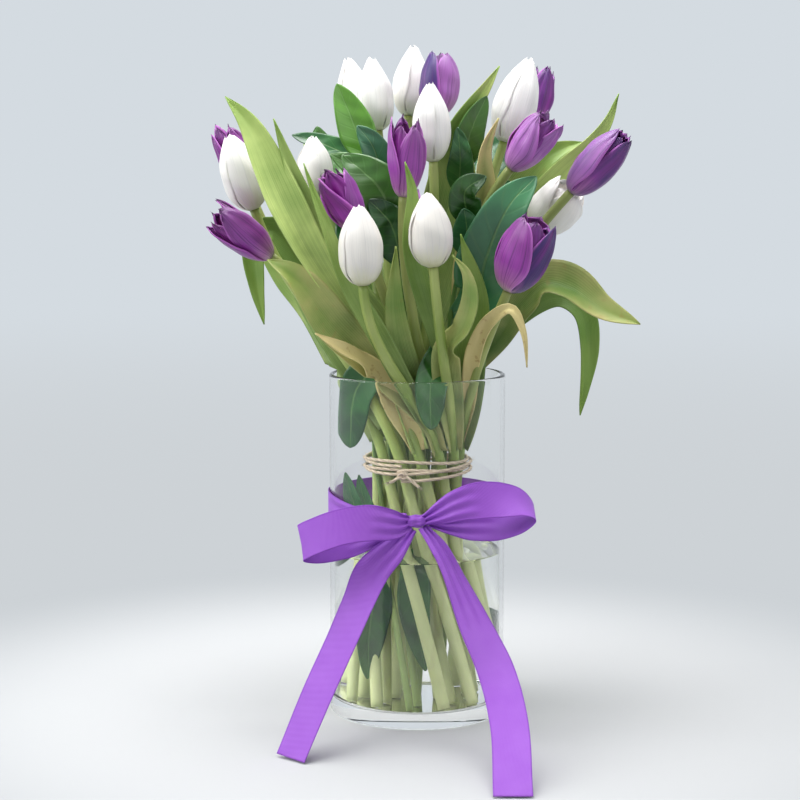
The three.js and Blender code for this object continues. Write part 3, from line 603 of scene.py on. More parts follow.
class Paint:
    """One material: its Principled shader, and the nodes that feed it."""

    def __init__(self, name: str, constants: dict[str, Any]) -> None:
        """Makes the material.

        Args:
            name: The material's name.
            constants: Values for the shader's own sockets, by their names.
        """
        self.material = bpy.data.materials.new(name)
        self.material.use_nodes = True
        self.tree = self.material.node_tree
        self.shader = self.tree.nodes["Principled BSDF"]
        for key, value in constants.items():
            self.shader.inputs[key].default_value = value

    def add(self, kind: str, settings: dict[str, Any] | None = None,
            inputs: dict[Any, Any] | None = None) -> bpy.types.Node:
        """Adds a node.

        Args:
            kind: The node's type.
            settings: Properties, set first; "stops" gives a ramp's places and colours.
            inputs: Sockets by name or number, each a Value, an output socket or a constant.

        Returns:
            The node.
        """
        node = self.tree.nodes.new(kind)
        for key, value in (settings or {}).items():
            if key == "stops":
                for spot in range(2, len(value)):
                    node.color_ramp.elements.new(spot / len(value))
                for element, (place, colour) in zip(node.color_ramp.elements, value):
                    element.position, element.color = place, colour
            else:
                setattr(node, key, value)
        for key, value in (inputs or {}).items():
            if isinstance(value, Value):
                value = value.socket
            if isinstance(value, Socket):
                self.tree.links.new(value, node.inputs[key])
            else:
                node.inputs[key].default_value = value
        return node

    def feed(self, name: str, item: Any) -> None:
        """Links a value or colour to one of the shader's sockets."""
        source = item.socket if isinstance(item, Value) else item
        self.tree.links.new(source, self.shader.inputs[name])

    def parts(self, vector: Socket) -> tuple[Value, Value, Value]:
        """The three components of a vector."""
        node = self.add("ShaderNodeSeparateXYZ", {}, {0: vector})
        return tuple(Value(self, output) for output in node.outputs)

    def uv(self) -> Socket:
        """The piece's UV map: across in x, along in y."""
        return self.add("ShaderNodeUVMap", {"uv_map": "UVMap"}).outputs[0]

    def place(self) -> Socket:
        """Object coordinates, in metres."""
        return self.add("ShaderNodeTexCoord").outputs["Object"]

    def tint(self) -> tuple[Value, Value]:
        """The two numbers of the patch's tint."""
        node = self.add("ShaderNodeAttribute", {"attribute_name": "tint"})
        return self.parts(node.outputs["Color"])[:2]

    def stretched(self, vector: Socket,
                  scale: tuple[float, float, float]) -> Socket:
        """A vector scaled along each axis."""
        return self.add("ShaderNodeMapping", {}, {"Vector": vector, "Scale": scale}).outputs[0]

    def noise(self, vector: Socket, scale: float, detail: float,
              pick: Value | None = None) -> Value:
        """Noise from 0 to 1.

        Args:
            vector: Where the noise is read.
            scale: Its scale.
            detail: How many finer layers it has.
            pick: A number that picks one of many different patterns, if given.

        Returns:
            The noise.
        """
        inputs = {"Vector": vector, "Scale": scale, "Detail": detail}
        if pick is not None:
            inputs["W"] = pick
        settings = {"noise_dimensions": "3D" if pick is None else "4D"}
        return Value(self, self.add("ShaderNodeTexNoise", settings, inputs).outputs[0])

    def blend(self, share: Any, low: Any, high: Any) -> Socket:
        """The colour that goes from low to high as share goes from 0 to 1."""
        node = self.add("ShaderNodeMix", {"data_type": "RGBA"}, {0: share, 6: low, 7: high})
        return node.outputs[2]

    def ramp(self, share: Value, stops: Stops) -> Socket:
        """A colour picked along a row of stops."""
        return self.add("ShaderNodeValToRGB", {"stops": stops}, {0: share}).outputs[0]

    def bump(self, height: Value, distance: float, strength: float) -> None:
        """Raises the surface.

        Args:
            height: The height, from about 0 to 1.
            distance: What a height of one stands for, in metres.
            strength: How strongly it turns the light.
        """
        node = self.add("ShaderNodeBump", {}, {
            "Height": height, "Distance": distance, "Strength": strength})
        self.feed("Normal", node.outputs[0])


@dataclass(frozen=True)
class PetalFinish:
    """A petal's satin skin: colour along its length, fine streaks and a thin rim.

    The patch's tint is how deep and how pale the petal is. On the white blooms the paleness is
    painted light.
    """

    name: str  # the material's name
    stops: Stops  # colours from the petal's base to its tip
    deep: Colour  # the colour that a deep-toned petal turns towards
    pale: Colour  # the colour that a pale-toned petal turns towards; on the white petals it is painted light
    streak_colour: Colour  # the colour of the fine lengthwise streaks
    streak: float  # how strong the streaks are
    edge: Colour  # the colour of the thin rim
    edge_share: float  # how strong the rim's colour is

    def build(self) -> Material:
        """Makes the material, whose patterns differ from petal to petal.

        Returns:
            The material.
        """
        paint = Paint(self.name, {
            "Roughness": 0.4, "Subsurface Weight": 0.12, "Subsurface Radius": (0.004, 0.003, 0.003),
            "Subsurface Scale": 1.0, "Sheen Weight": 0.06, "Sheen Roughness": 0.4,
            "Specular IOR Level": 0.45})
        uv = paint.uv()
        across, along, _ = paint.parts(uv)
        deep, pale = paint.tint()
        own = (deep + pale * 3.0) * 30.0
        fine = paint.noise(paint.stretched(uv, (20.0, 1.2, 1.0)), scale=1.0, detail=4.0, pick=own)
        bands = paint.noise(paint.stretched(uv, (2.6, 0.9, 1.0)), scale=1.0, detail=2.0, pick=own)
        broad = paint.noise(paint.place(), scale=70.0, detail=2.0)
        colour = paint.ramp(along + (fine - 0.5) * 0.2 + (broad - 0.5) * 0.2, self.stops)
        deepened = deep * (0.72 + (broad - 0.5) * 0.6 + (bands - 0.5) * 2.2)
        colour = paint.blend(deepened, colour, self.deep)
        # a pale petal turns paler; on the white blooms this paleness is painted light
        colour = paint.blend(pale * (0.7 + (fine - 0.5) * 1.2), colour, self.pale)
        colour = paint.blend(fine.step(0.45, 0.75) * self.streak, colour, self.streak_colour)
        rim = across.size().step(0.86, 1.0)
        paint.feed("Base Color", paint.blend(rim * self.edge_share, colour, self.edge))
        paint.feed("Roughness", 0.32 + fine * 0.16)
        paint.bump(fine * 0.7 + broad * 0.3, distance=0.0005, strength=0.5)
        return paint.material


@dataclass(frozen=True)
class LeafFinish:
    """A tulip leaf's waxy skin with parallel veins, which withers from green to straw; it is darker
    low down, which is painted shade.

    The patch's tint is how much pale bloom the leaf has and how withered it is.
    """

    name: str  # the material's name
    fresh: Stops  # colours from the leaf's base to its tip when fresh, darkest about a quarter along, which is painted shade for the shade deep in the bunch
    wax: Colour  # the colour of the pale waxy bloom and of the veins
    dry: Colour  # the straw colour of a withered leaf
    brown: Colour  # the colour of a withered leaf's spots

    def build(self) -> Material:
        """Makes the material. The veins and streaks fade where they would crowd at the tip.

        Returns:
            The material.
        """
        paint = Paint(self.name, {"Roughness": 0.42, "Specular IOR Level": 0.4})
        uv = paint.uv()
        across, along, _ = paint.parts(uv)
        pale, wear = paint.tint()
        broad = paint.noise(paint.place(), scale=28.0, detail=3.0)
        fine = paint.noise(paint.stretched(uv, (9.0, 0.6, 1.0)), scale=1.0, detail=4.0)
        hold = along.step(0.94, 0.75)
        end = along.step(1.0, 0.9)
        veins = (across * 62.0 + fine * 2.0).wave() * hold
        streaks = (fine - 0.5) * hold
        # the ramp's dark stretch low on the leaf is painted shade
        colour = paint.ramp(along + streaks * 0.25 + (broad - 0.5) * 0.3, self.fresh)
        clouds = (streaks * 0.35 + broad * 0.65 + 0.18).step(0.3, 0.7)
        colour = paint.blend(pale * end * (0.25 + clouds * 0.6), colour, self.wax)
        dried = (wear + (broad - 0.5) * 0.7 + across.size() * wear * 0.35).step(0.2, 0.85)
        colour = paint.blend(dried, colour, self.dry)
        spots = paint.noise(paint.place(), scale=170.0, detail=4.0).step(0.6, 0.72)
        colour = paint.blend(spots * wear * 0.7, colour, self.brown)
        paint.feed("Base Color", paint.blend(veins * 0.13, colour, self.wax))
        paint.feed("Roughness", 0.36 + broad * 0.2)
        paint.bump((veins * 0.6 + fine * 0.6) * hold, distance=0.0004, strength=0.4)
        return paint.material


@dataclass(frozen=True)
class FoliageFinish:
    """A leathery oval leaf: dark glossy green, a pale midrib and feathered side veins.

    The patch's tint is how bluish and how fresh the leaf is.
    """

    name: str  # the material's name
    dark: Colour  # the darker green
    light: Colour  # the lighter green
    blue: Colour  # the colour that a bluish leaf turns towards
    fresh: Colour  # the colour that a young leaf turns towards
    rib: Colour  # the colour of the midrib and the side veins

    def build(self) -> Material:
        """Makes the material.

        Returns:
            The material.
        """
        paint = Paint(self.name, {
            "Roughness": 0.3, "Coat Weight": 0.25, "Coat Roughness": 0.2,
            "Specular IOR Level": 0.5})
        across, along, _ = paint.parts(paint.uv())
        bluish, fresh = paint.tint()
        broad = paint.noise(paint.place(), scale=40.0, detail=3.0)
        side = (along * 46.0 - across.size() * 7.0).sine().step(0.8, 1.0)
        rib = across.size().step(0.07, 0.02)
        colour = paint.blend(broad.step(0.35, 0.7), self.dark, self.light)
        colour = paint.blend(bluish * (0.35 + broad * 0.5), colour, self.blue)
        colour = paint.blend(fresh * (0.5 + broad * 0.6), colour, self.fresh)
        paint.feed("Base Color", paint.blend(rib * 0.5 + side * 0.1, colour, self.rib))
        paint.feed("Roughness", 0.24 + broad * 0.16)
        paint.bump(rib * -1.0 + side * -0.35 + broad * 0.4, distance=0.0004, strength=0.5)
        return paint.material


@dataclass(frozen=True)
class StemFinish:
    """A stem's skin: pale green with lengthwise streaks, and paler low in the glass and under the
    water, which is painted light.

    The second number of the patch's tint is how strong the tinge near the bloom is.
    """

    name: str  # the material's name
    pale: Colour  # the paler green
    green: Colour  # the fuller green
    tinge: Colour  # the colour of the stem's top under the bloom
    foot: Colour  # the paler colour of the stem low in the glass, which is painted light

    def build(self) -> Material:
        """Makes the material.

        Returns:
            The material.
        """
        paint = Paint(self.name, {
            "Roughness": 0.42, "Specular IOR Level": 0.4, "Subsurface Weight": 0.1,
            "Subsurface Radius": (0.003, 0.004, 0.002), "Subsurface Scale": 1.0})
        uv = paint.uv()
        along = paint.parts(uv)[1]
        tinged = paint.tint()[1]
        streak = paint.noise(paint.stretched(uv, (22.0, 0.03, 1.0)), scale=1.0, detail=3.0)
        broad = paint.noise(paint.place(), scale=22.0, detail=2.0)
        share = broad.step(0.3, 0.7) * 0.8 + (streak - 0.5) * 0.6
        colour = paint.blend(share, self.green, self.pale)
        colour = paint.blend(tinged * along.step(190.0, 330.0), colour, self.tinge)
        # paler low in the glass and under the water: painted light, for the light that comes
        # through the glass and water
        height = paint.parts(paint.place())[2]
        painted_glass_light = height.step(0.2, 0.09) * (0.4 + broad * 0.8)
        paint.feed("Base Color", paint.blend(painted_glass_light, colour, self.foot))
        paint.feed("Roughness", 0.36 + streak * 0.16)
        paint.bump(streak, distance=0.0004, strength=0.5)
        return paint.material


@dataclass(frozen=True)
class HeartFinish:
    """A bloom's middle: a pale pistil and dark anthers on pale stalks.

    The first number of the patch's tint is one for a stamen and nought for the pistil.
    """

    name: str  # the material's name
    pale: Colour  # the colour of the pistil and the stalks
    anther: Colour  # the colour of the anthers

    def build(self) -> Material:
        """Makes the material.

        Returns:
            The material.
        """
        paint = Paint(self.name, {"Roughness": 0.6})
        along = paint.parts(paint.uv())[1]
        stamen = paint.tint()[0]
        grain = paint.noise(paint.place(), scale=600.0, detail=2.0)
        dark = stamen * (along + (grain - 0.5) * 2.0).step(9.0, 10.5)
        paint.feed("Base Color", paint.blend(dark, self.pale, self.anther))
        paint.bump(grain, distance=0.0003, strength=0.5)
        return paint.material


@dataclass(frozen=True)
class RibbonFinish:
    """Satin ribbon with fine ribs across it and a firmer woven edge; UV is in millimetres."""

    name: str  # the material's name
    face: Colour  # the colour between the ribs
    sheen: Colour  # the painted sheen on the ribs and in broad patches, and the tint of the cloth's sheen
    edge: Colour  # the colour of the woven edge

    def build(self) -> Material:
        """Makes the material.

        Returns:
            The material.
        """
        paint = Paint(self.name, {
            "Roughness": 0.42, "Sheen Weight": 0.35, "Sheen Roughness": 0.35,
            "Sheen Tint": self.sheen, "Specular IOR Level": 0.4})
        across, along, _ = paint.parts(paint.uv())
        ribs = (along * 7.4 + across * 2.1).wave()
        weave = (across * 13.0).wave()
        broad = paint.noise(paint.place(), scale=60.0, detail=2.0)
        selvedge = across.size().step(11.2, 11.9)
        # lighter on the ribs and in broad patches: a painted sheen
        colour = paint.blend(ribs * 0.3 + broad * 0.25, self.face, self.sheen)
        paint.feed("Base Color", paint.blend(selvedge * 0.5, colour, self.edge))
        paint.feed("Roughness", 0.34 + ribs * 0.12 + broad * 0.1)
        paint.bump(ribs + weave * 0.3 + selvedge * 0.8, distance=0.00012, strength=0.8)
        return paint.material


@dataclass(frozen=True)
class JuteFinish:
    """Hairy jute: straw fibres that run with the twist, with painted shade between the plies."""

    name: str  # the material's name
    light: Colour  # the colour of the fibres on top
    dark: Colour  # the painted shade between the plies, and the darker fibres

    def build(self) -> Material:
        """Makes the material.

        Returns:
            The material.
        """
        paint = Paint(self.name, {
            "Roughness": 0.9, "Specular IOR Level": 0.2, "Sheen Weight": 0.3})
        uv = paint.uv()
        across, along, _ = paint.parts(uv)
        fibre = paint.noise(paint.stretched(uv, (14.0, 1.2, 1.0)), scale=1.0, detail=4.0)
        ply = (across * 3.0 * 2 * math.pi - along * 0.9).wave()
        # darker between the plies, which is painted shade, and on some fibres at random
        paint.feed("Base Color", paint.blend(ply * 0.5 + fibre * 0.6, self.dark, self.light))
        paint.bump(fibre * 0.8 + ply * 0.5, distance=0.0004, strength=0.8)
        return paint.material


@dataclass(frozen=True)
class ClearFinish:
    """Glass or water: colourless, smooth, bending what is seen and letting lamp light through."""

    name: str  # the material's name
    colour: Colour  # what is left of light that passes
    shade: Colour  # what is left of lamp light that passes
    ior: float  # how strongly it bends light

    def build(self) -> Material:
        """Makes the material: a clear shader, and a plain see-through one for shadows.

        Returns:
            The material.
        """
        paint = Paint(self.name, {
            "Base Color": self.colour, "Transmission Weight": 1.0, "IOR": self.ior,
            "Roughness": 0.0})
        passing = paint.add("ShaderNodeBsdfTransparent", {}, {"Color": self.shade})
        lamp = paint.add("ShaderNodeLightPath").outputs["Is Shadow Ray"]
        mix = paint.add("ShaderNodeMixShader", {}, {
            0: lamp, 1: paint.shader.outputs[0], 2: passing.outputs[0]})
        surface = paint.tree.nodes["Material Output"].inputs["Surface"]
        paint.tree.links.new(mix.outputs[0], surface)
        return paint.material


# the white petal's pale colour is painted light on the blooms that stand in more light
WHITE_PETAL = PetalFinish(
    name="white_petal",
    stops=((0.0, tone(190, 190, 124)), (0.12, tone(220, 216, 184)), (0.3, tone(232, 225, 214)),
           (1.0, tone(239, 232, 225))),
    deep=tone(214, 206, 204), pale=tone(253, 252, 249),
    streak_colour=tone(208, 202, 196), streak=0.5, edge=tone(246, 243, 236), edge_share=0.3)
PURPLE_PETAL = PetalFinish(
    name="purple_petal",
    stops=((0.0, tone(216, 184, 196)), (0.12, tone(188, 112, 178)), (0.36, tone(150, 32, 158)),
           (0.75, tone(128, 10, 130)), (1.0, tone(92, 2, 94))),
    deep=tone(42, 12, 96), pale=tone(192, 140, 208),
    streak_colour=tone(70, 2, 88), streak=0.8, edge=tone(196, 106, 202), edge_share=0.7)
# the darker colours low on the leaf are painted shade
TULIP_LEAF = LeafFinish(
    name="tulip_leaf",
    fresh=((0.0, tone(84, 110, 56)), (0.25, tone(58, 94, 36)), (0.7, tone(86, 128, 42)),
           (1.0, tone(122, 152, 62))),
    wax=tone(198, 216, 130), dry=tone(212, 194, 134), brown=tone(158, 112, 62))
FOLIAGE = FoliageFinish(
    name="foliage_leaf", dark=tone(16, 60, 20), light=tone(42, 102, 36), blue=tone(80, 146, 104),
    fresh=tone(104, 162, 48), rib=tone(104, 144, 76))
# the foot colours are painted light for the stems inside the glass
TULIP_STEM = StemFinish(
    name="tulip_stem", pale=tone(180, 192, 116), green=tone(126, 152, 68),
    tinge=tone(142, 136, 88), foot=tone(220, 226, 170))
TWIG = StemFinish(
    name="twig", pale=tone(116, 142, 70), green=tone(72, 108, 44), tinge=tone(110, 120, 70),
    foot=tone(160, 180, 110))
HEART = HeartFinish(name="bloom_heart", pale=tone(206, 208, 136), anther=tone(44, 26, 50))
RIBBON_FINISH = RibbonFinish(
    name="ribbon_satin", face=tone(132, 52, 184), sheen=tone(190, 128, 228),
    edge=tone(116, 40, 166))
JUTE = JuteFinish(name="jute", light=tone(226, 210, 186), dark=tone(160, 136, 110))
GLASS = ClearFinish(
    name="clear_glass", colour=(0.997, 1.0, 0.998, 1.0), shade=(0.97, 0.98, 0.97, 1.0), ior=1.36)
WATER = ClearFinish(
    name="still_water", colour=(0.99, 0.999, 0.992, 1.0), shade=(0.98, 0.99, 0.97, 1.0), ior=1.33)


# ------------------------------------------------------------------ plants

class Form(Enum):
    """How far a bloom has opened."""

    BUD = "bud"
    HALF = "half"
    FLUTED = "fluted"
    CUP = "cup"


@dataclass(frozen=True)
class BloomShape:
    """The shares that shape a bloom of one form."""

    widest: float  # where along the bloom it is widest
    top: float  # its radius at the tip, as a share of the widest radius
    taper: float  # how late each petal starts to narrow
    point: float  # how pointed each petal is
    jag: float  # how uneven the petals' tips are, in millimetres
    spread: float  # how much further out one edge of a petal lies than the other, in millimetres
    lean: float  # how far the tips stand apart, in millimetres
    folds: float  # how deep the lengthwise folds are, in millimetres
    fall: float  # how late the bloom narrows above its widest place
    twist: float  # how far a petal's tip may turn round the bloom, in radians
    short: float  # the shortest outer petal, as a share of the bloom's length
    slim: float  # the petals' radius as a share of the bloom's half width


SHAPES = {
    Form.BUD: BloomShape(
        widest=0.38, top=0.13, taper=3.0, point=0.66, jag=1.0, spread=0.6, lean=0.6, folds=0.42,
        fall=1.25, twist=0.08, short=0.95, slim=0.92),
    Form.HALF: BloomShape(
        widest=0.46, top=0.4, taper=2.8, point=0.62, jag=1.4, spread=1.4, lean=1.4, folds=0.45,
        fall=1.5, twist=0.2, short=0.93, slim=0.86),
    Form.FLUTED: BloomShape(
        widest=0.6, top=0.7, taper=2.8, point=0.66, jag=2.4, spread=1.9, lean=2.4, folds=0.8,
        fall=1.7, twist=0.3, short=0.86, slim=0.8),
    Form.CUP: BloomShape(
        widest=0.5, top=0.62, taper=3.2, point=0.6, jag=1.8, spread=1.7, lean=2.0, folds=0.45,
        fall=1.7, twist=0.2, short=0.93, slim=0.9),
}


@dataclass
class Plant:
    """A cut flower or twig whose stem runs through its slot in the tie."""

    name: str  # the plant's name, as in its CAD node
    slot: int  # its slot in the tie, counted from the middle ring outwards
    base: Point  # where the stem ends
    tip: Point  # a point further along the stem's end direction
    foot_radius: float  # the stem's radius at its cut foot
    top_radius: float  # the stem's radius at its end

    RINGS = ((8.0, 4, 20.0), (19.0, 9, 0.0), (29.5, 13, 0.0))
    TIE_HEIGHT = 178.0
    FOOT_SPREAD = 1.6
    FOOT_TURN = math.radians(70)
    BOW = 0.36
    FLOOR = 10.3

    def __post_init__(self) -> None:
        """Works out the foot, the tie point and the curve above it."""
        first = 0
        for radius, count, start in self.RINGS:
            if self.slot < first + count:
                angle = math.radians(start + 360 * (self.slot - first) / count)
                break
            first += count
        self.tie = np.array([radius * math.cos(angle), radius * math.sin(angle), self.TIE_HEIGHT])
        angle += self.FOOT_TURN
        spread = radius * self.FOOT_SPREAD
        self.foot = np.array([spread * math.cos(angle), spread * math.sin(angle), 0.0])
        lean = np.linalg.norm(self.foot[:2] - self.tie[:2]) / self.TIE_HEIGHT
        self.foot[2] = self.FLOOR + self.foot_radius * lean
        end = np.array(self.base, dtype=float)
        axis = np.array(self.tip, dtype=float) - end
        self.length = float(np.linalg.norm(axis))
        self.axis = axis / self.length
        reach = self.BOW * np.linalg.norm(end - self.tie)
        leave = self.tie + reach * unit(self.tie - self.foot)
        self.controls = np.array([self.tie, leave, end - reach * self.axis, end])

    @property
    def kind(self) -> str:
        """The first word of its name: white, purple or sprig."""
        return self.name.split("_")[0]

    def sides(self) -> tuple[Array, Array]:
        """Two directions square to each other and to the end of the stem."""
        across = unit(np.cross(AWAY, self.axis))
        return across, np.cross(self.axis, across)

    def path(self, count: int) -> Array:
        """The stem's centreline: straight from foot to tie, then a cubic Bezier curve.

        Args:
            count: How many points to return.

        Returns:
            The points, at equal steps of arc length.
        """
        t = np.linspace(0, 1, 120)[:, None]
        c = self.controls
        upper = ((1 - t)**3 * c[0] + 3 * (1 - t)**2 * t * c[1] + 3 * (1 - t) * t**2 * c[2]
                 + t**3 * c[3])
        share = np.linspace(0, 1, 60, endpoint=False)[:, None]
        lower = self.foot + (self.tie - self.foot) * share
        return respaced(np.vstack([lower, upper]), count)

    def at_height(self, height: float) -> Array:
        """The point of the centreline at a height."""
        path = self.path(600)
        return path[np.argmax(path[:, 2] >= height)]

    def stem(self, sides: int, joints: Sequence[float] = (), tinge: float = 0.0) -> Patch:
        """The stem as a tube that tapers evenly, with small swellings at its leaf joints.

        The radius is foot + (top - foot) s, plus a bell curve of 0.8 mm at each joint, and
        it wavers by 2 % round the stem.

        Args:
            sides: Points round the stem.
            joints: Heights of the leaf joints.
            tinge: How strongly the stem's upper part is coloured.

        Returns:
            The patch.
        """
        steps = 90
        centres = self.path(steps)
        share = np.linspace(0, 1, steps)
        radius = self.foot_radius + (self.top_radius - self.foot_radius) * share
        for joint in joints:
            radius = radius + 0.8 * np.exp(-(((centres[:, 2] - joint) / 2.5) ** 2))
        angles = round_turn(sides)[None]
        waver = 1 + 0.02 * np.cos(2 * angles + 9 * share[:, None]) + 0.015 * np.cos(3 * angles)
        across = np.cross(AWAY, unit(np.gradient(centres, axis=0)))
        return tube(centres, radius[:, None] * waver, across, (0.0, tinge))


@dataclass
class Bloom:
    """A tulip's head: three outer petals that overlap in a spiral and three inner ones."""

    plant: Plant  # the plant that carries it
    width: float  # its full width
    form: Form  # how far it has opened
    turn: float  # how far it is turned on its stem, in degrees
    seed: int  # what draws its petals' small differences
    # how deep and how pale each petal is, outer petals first, then over again; a white bloom's
    # paleness is painted light
    look: Look = ((0.1, 0.1),)

    ROWS, COLUMNS = 34, 19
    BASE_SHARE = 0.24
    GAP = 0.3
    THICKNESS = 0.55
    LAYERS = (0.35, -1.6)

    def radius(self, u: Array) -> Array:
        """The bloom's radius as a share of its widest.

        It rises as a quarter sine from the base to the widest place, and falls from there as
        a quarter cosine to the share at the tip.

        Args:
            u: Places along the bloom, from 0 to 1.

        Returns:
            The radius at each place.
        """
        shape = SHAPES[self.form]
        rise = opening(u / shape.widest, 0.68)
        above = np.clip((u - shape.widest) / (1 - shape.widest), 0, 1)
        fall = np.cos(math.pi / 2 * above ** shape.fall)
        return np.where(u < shape.widest, self.BASE_SHARE + (1 - self.BASE_SHARE) * rise,
                        shape.top + (1 - shape.top) * fall)

    def lift(self, u: Array, v: Array, number: int, draw: np.random.Generator) -> Array:
        """How far a petal stands outside the bloom's radius.

        One edge lies further out than the other, and a low rib in the middle, a lifted rim,
        a gentle unevenness and lengthwise folds are added. The tip leans out as u^6.

        Args:
            u: Places along the petal, from 0 to 1.
            v: Places across it, from -1 to 1.
            number: The petal's number.
            draw: The petal's random draws.

        Returns:
            The distance at each place, in millimetres.
        """
        shape = SHAPES[self.form]
        outer = number < 3
        swell = np.sin(math.pi * u)
        lift = self.LAYERS[number // 3] + shape.spread * v * swell * (0.8 if outer else 0.3)
        rib = np.exp(-((v / 0.1) ** 2))
        lift = lift + 0.45 * rib * swell + 0.3 * np.abs(v) ** 6 * swell
        lift = lift + 0.35 * ripple(u, v, self.seed + number) * swell
        pleat = np.sin(math.pi * draw.uniform(2.2, 3.6) * v + draw.uniform(0, 6) + 0.8 * u)
        lift = lift + shape.folds * pleat * (0.25 + 0.75 * u) * np.sqrt(swell)
        return lift + (shape.lean * draw.uniform(0.2, 1.3)) * u**6 * (1.0 if outer else 0.4)

    def petal(self, number: int) -> Patch:
        """One petal.

        Along the petal u runs from base to tip, and across it v runs from -1 to 1. Its half
        width opens as a quarter sine and closes as (1 - u^taper)^point, and it lies at the
        bloom's radius plus its lift. Its tip is uneven, lower at the rims, and turned a
        little round the bloom.

        Args:
            number: 0 to 2 for the outer petals and 3 to 5 for the inner ones.

        Returns:
            The patch.
        """
        draw = np.random.default_rng(self.seed * 7 + number)
        shape = SHAPES[self.form]
        outer = number < 3
        u, v = np.meshgrid(np.linspace(0, 1, self.ROWS) ** 0.9,
                           np.linspace(-1, 1, self.COLUMNS), indexing="ij")
        ring = self.radius(u)
        reach = (0.36 + 0.94 * opening(u / 0.46)) * closing(
            u, shape.taper, shape.point * draw.uniform(0.92, 1.1))
        angle = np.clip(reach / np.maximum(ring, 0.2), 0, 1.5) * v
        turn = self.turn + 120 * (number % 3) + (0 if outer else 60)
        centre = math.radians(turn) + draw.uniform(-0.08, 0.08)
        radius = self.width / 2 * shape.slim * ring + self.lift(u, v, number, draw)
        shares = (shape.short, 1.0) if outer else (shape.short - 0.03, 0.99)
        length = self.plant.length * draw.uniform(*shares)
        tips = shape.jag * ripple(2 * v, v, self.seed + 31 * number) * u**8
        height = self.GAP + length * u + tips - 0.8 * np.abs(v) * u**3
        way = centre - math.pi / 2 + angle + draw.uniform(-shape.twist, shape.twist) * u**2
        across, up = self.plant.sides()
        spoke = across * np.cos(way)[..., None] + up * np.sin(way)[..., None]
        points = (np.array(self.plant.base) + self.plant.axis * height[..., None]
                  + spoke * radius[..., None])
        deep, pale = self.look[number % len(self.look)]
        tint = (deep + draw.uniform(0, 0.15), pale + draw.uniform(0, 0.15))
        return Patch(points, np.stack([v, u], axis=-1), tint=tint)

    def heart(self) -> list[Patch]:
        """The pistil with its three-lobed top, and six stamens round it.

        Each is a tube along the bloom's axis. The pistil's radius swells as a half sine and
        opens into lobes 1 + 0.25 cos(3 a), and a stamen's thickens where its anther is.

        Returns:
            The patches.
        """
        across, up = self.plant.sides()
        foot = np.array(self.plant.base) + self.plant.axis * self.GAP
        share = np.linspace(0, 1, 14)
        bulge = 1.7 + 0.4 * np.sin(math.pi * share) + 1.5 * smooth_step(0.78, 0.95, share)
        opened = smooth_step(0.7, 0.9, share)[:, None]
        lobes = 1 + 0.25 * opened * np.cos(3 * round_turn(12))[None]
        centres = foot + self.plant.axis * (share * 17)[:, None]
        patches = [tube(centres, bulge[:, None] * lobes, across)]
        anther = smooth_step(0.5, 0.62, share) * (1 - smooth_step(0.9, 1.0, share))
        radii = (0.5 + 0.85 * anther)[:, None] * np.ones((1, 8))
        for turn in np.radians(self.turn + 60 * np.arange(6)):
            spoke = across * math.cos(turn) + up * math.sin(turn)
            centres = (foot + self.plant.axis * (share * 18)[:, None]
                       + spoke * (2.6 + 1.8 * share)[:, None])
            patches.append(tube(centres, radii, across, (1.0, 0.0)))
        return patches


class LeafForm(Enum):
    """The kinds of leaf."""

    EVEN = "even"
    LATE = "late"
    FLAG = "flag"
    OVAL = "oval"
    PADDLE = "paddle"

    @property
    def leathery(self) -> bool:
        """Whether it grows on a sprig rather than on a tulip."""
        return self in (LeafForm.OVAL, LeafForm.PADDLE)


@dataclass(frozen=True)
class LeafShape:
    """How a kind of leaf widens, folds and waves along its length."""

    base: float  # its half width at the root, as a share of the full half width
    widest: float  # where along the leaf it is widest
    rise: float  # how late it widens before that
    taper: float  # how late it narrows again
    point: float  # how pointed its tip is
    fold: float  # how high its sides stand, as a share of the half width
    clasp: float  # how much more it folds round the stem at its root
    wave: float  # how far its rims wave, in millimetres
    waves: float  # how many waves a rim has
    thickness: float  # how thick it is, in millimetres
    broad: float  # the modelled width as a share of the table's


LEAF_SHAPES = {
    LeafForm.EVEN: LeafShape(
        base=0.4, widest=0.45, rise=1.0, taper=2.6, point=0.9, fold=0.28, clasp=2.6, wave=1.6,
        waves=2.2, thickness=0.6, broad=1.06),
    LeafForm.LATE: LeafShape(
        base=0.3, widest=0.72, rise=1.7, taper=4.2, point=0.8, fold=0.42, clasp=2.2, wave=2.4,
        waves=1.6, thickness=0.6, broad=1.06),
    LeafForm.FLAG: LeafShape(
        base=0.36, widest=0.74, rise=3.6, taper=5.0, point=0.85, fold=0.42, clasp=1.8, wave=3.0,
        waves=1.5, thickness=0.6, broad=1.1),
    LeafForm.OVAL: LeafShape(
        base=0.12, widest=0.46, rise=1.0, taper=2.8, point=0.7, fold=0.18, clasp=0.0, wave=0.6,
        waves=1.1, thickness=0.7, broad=1.22),
    LeafForm.PADDLE: LeafShape(
        base=0.3, widest=0.55, rise=1.0, taper=4.6, point=0.56, fold=0.14, clasp=0.0, wave=0.8,
        waves=1.1, thickness=0.7, broad=1.1),
}


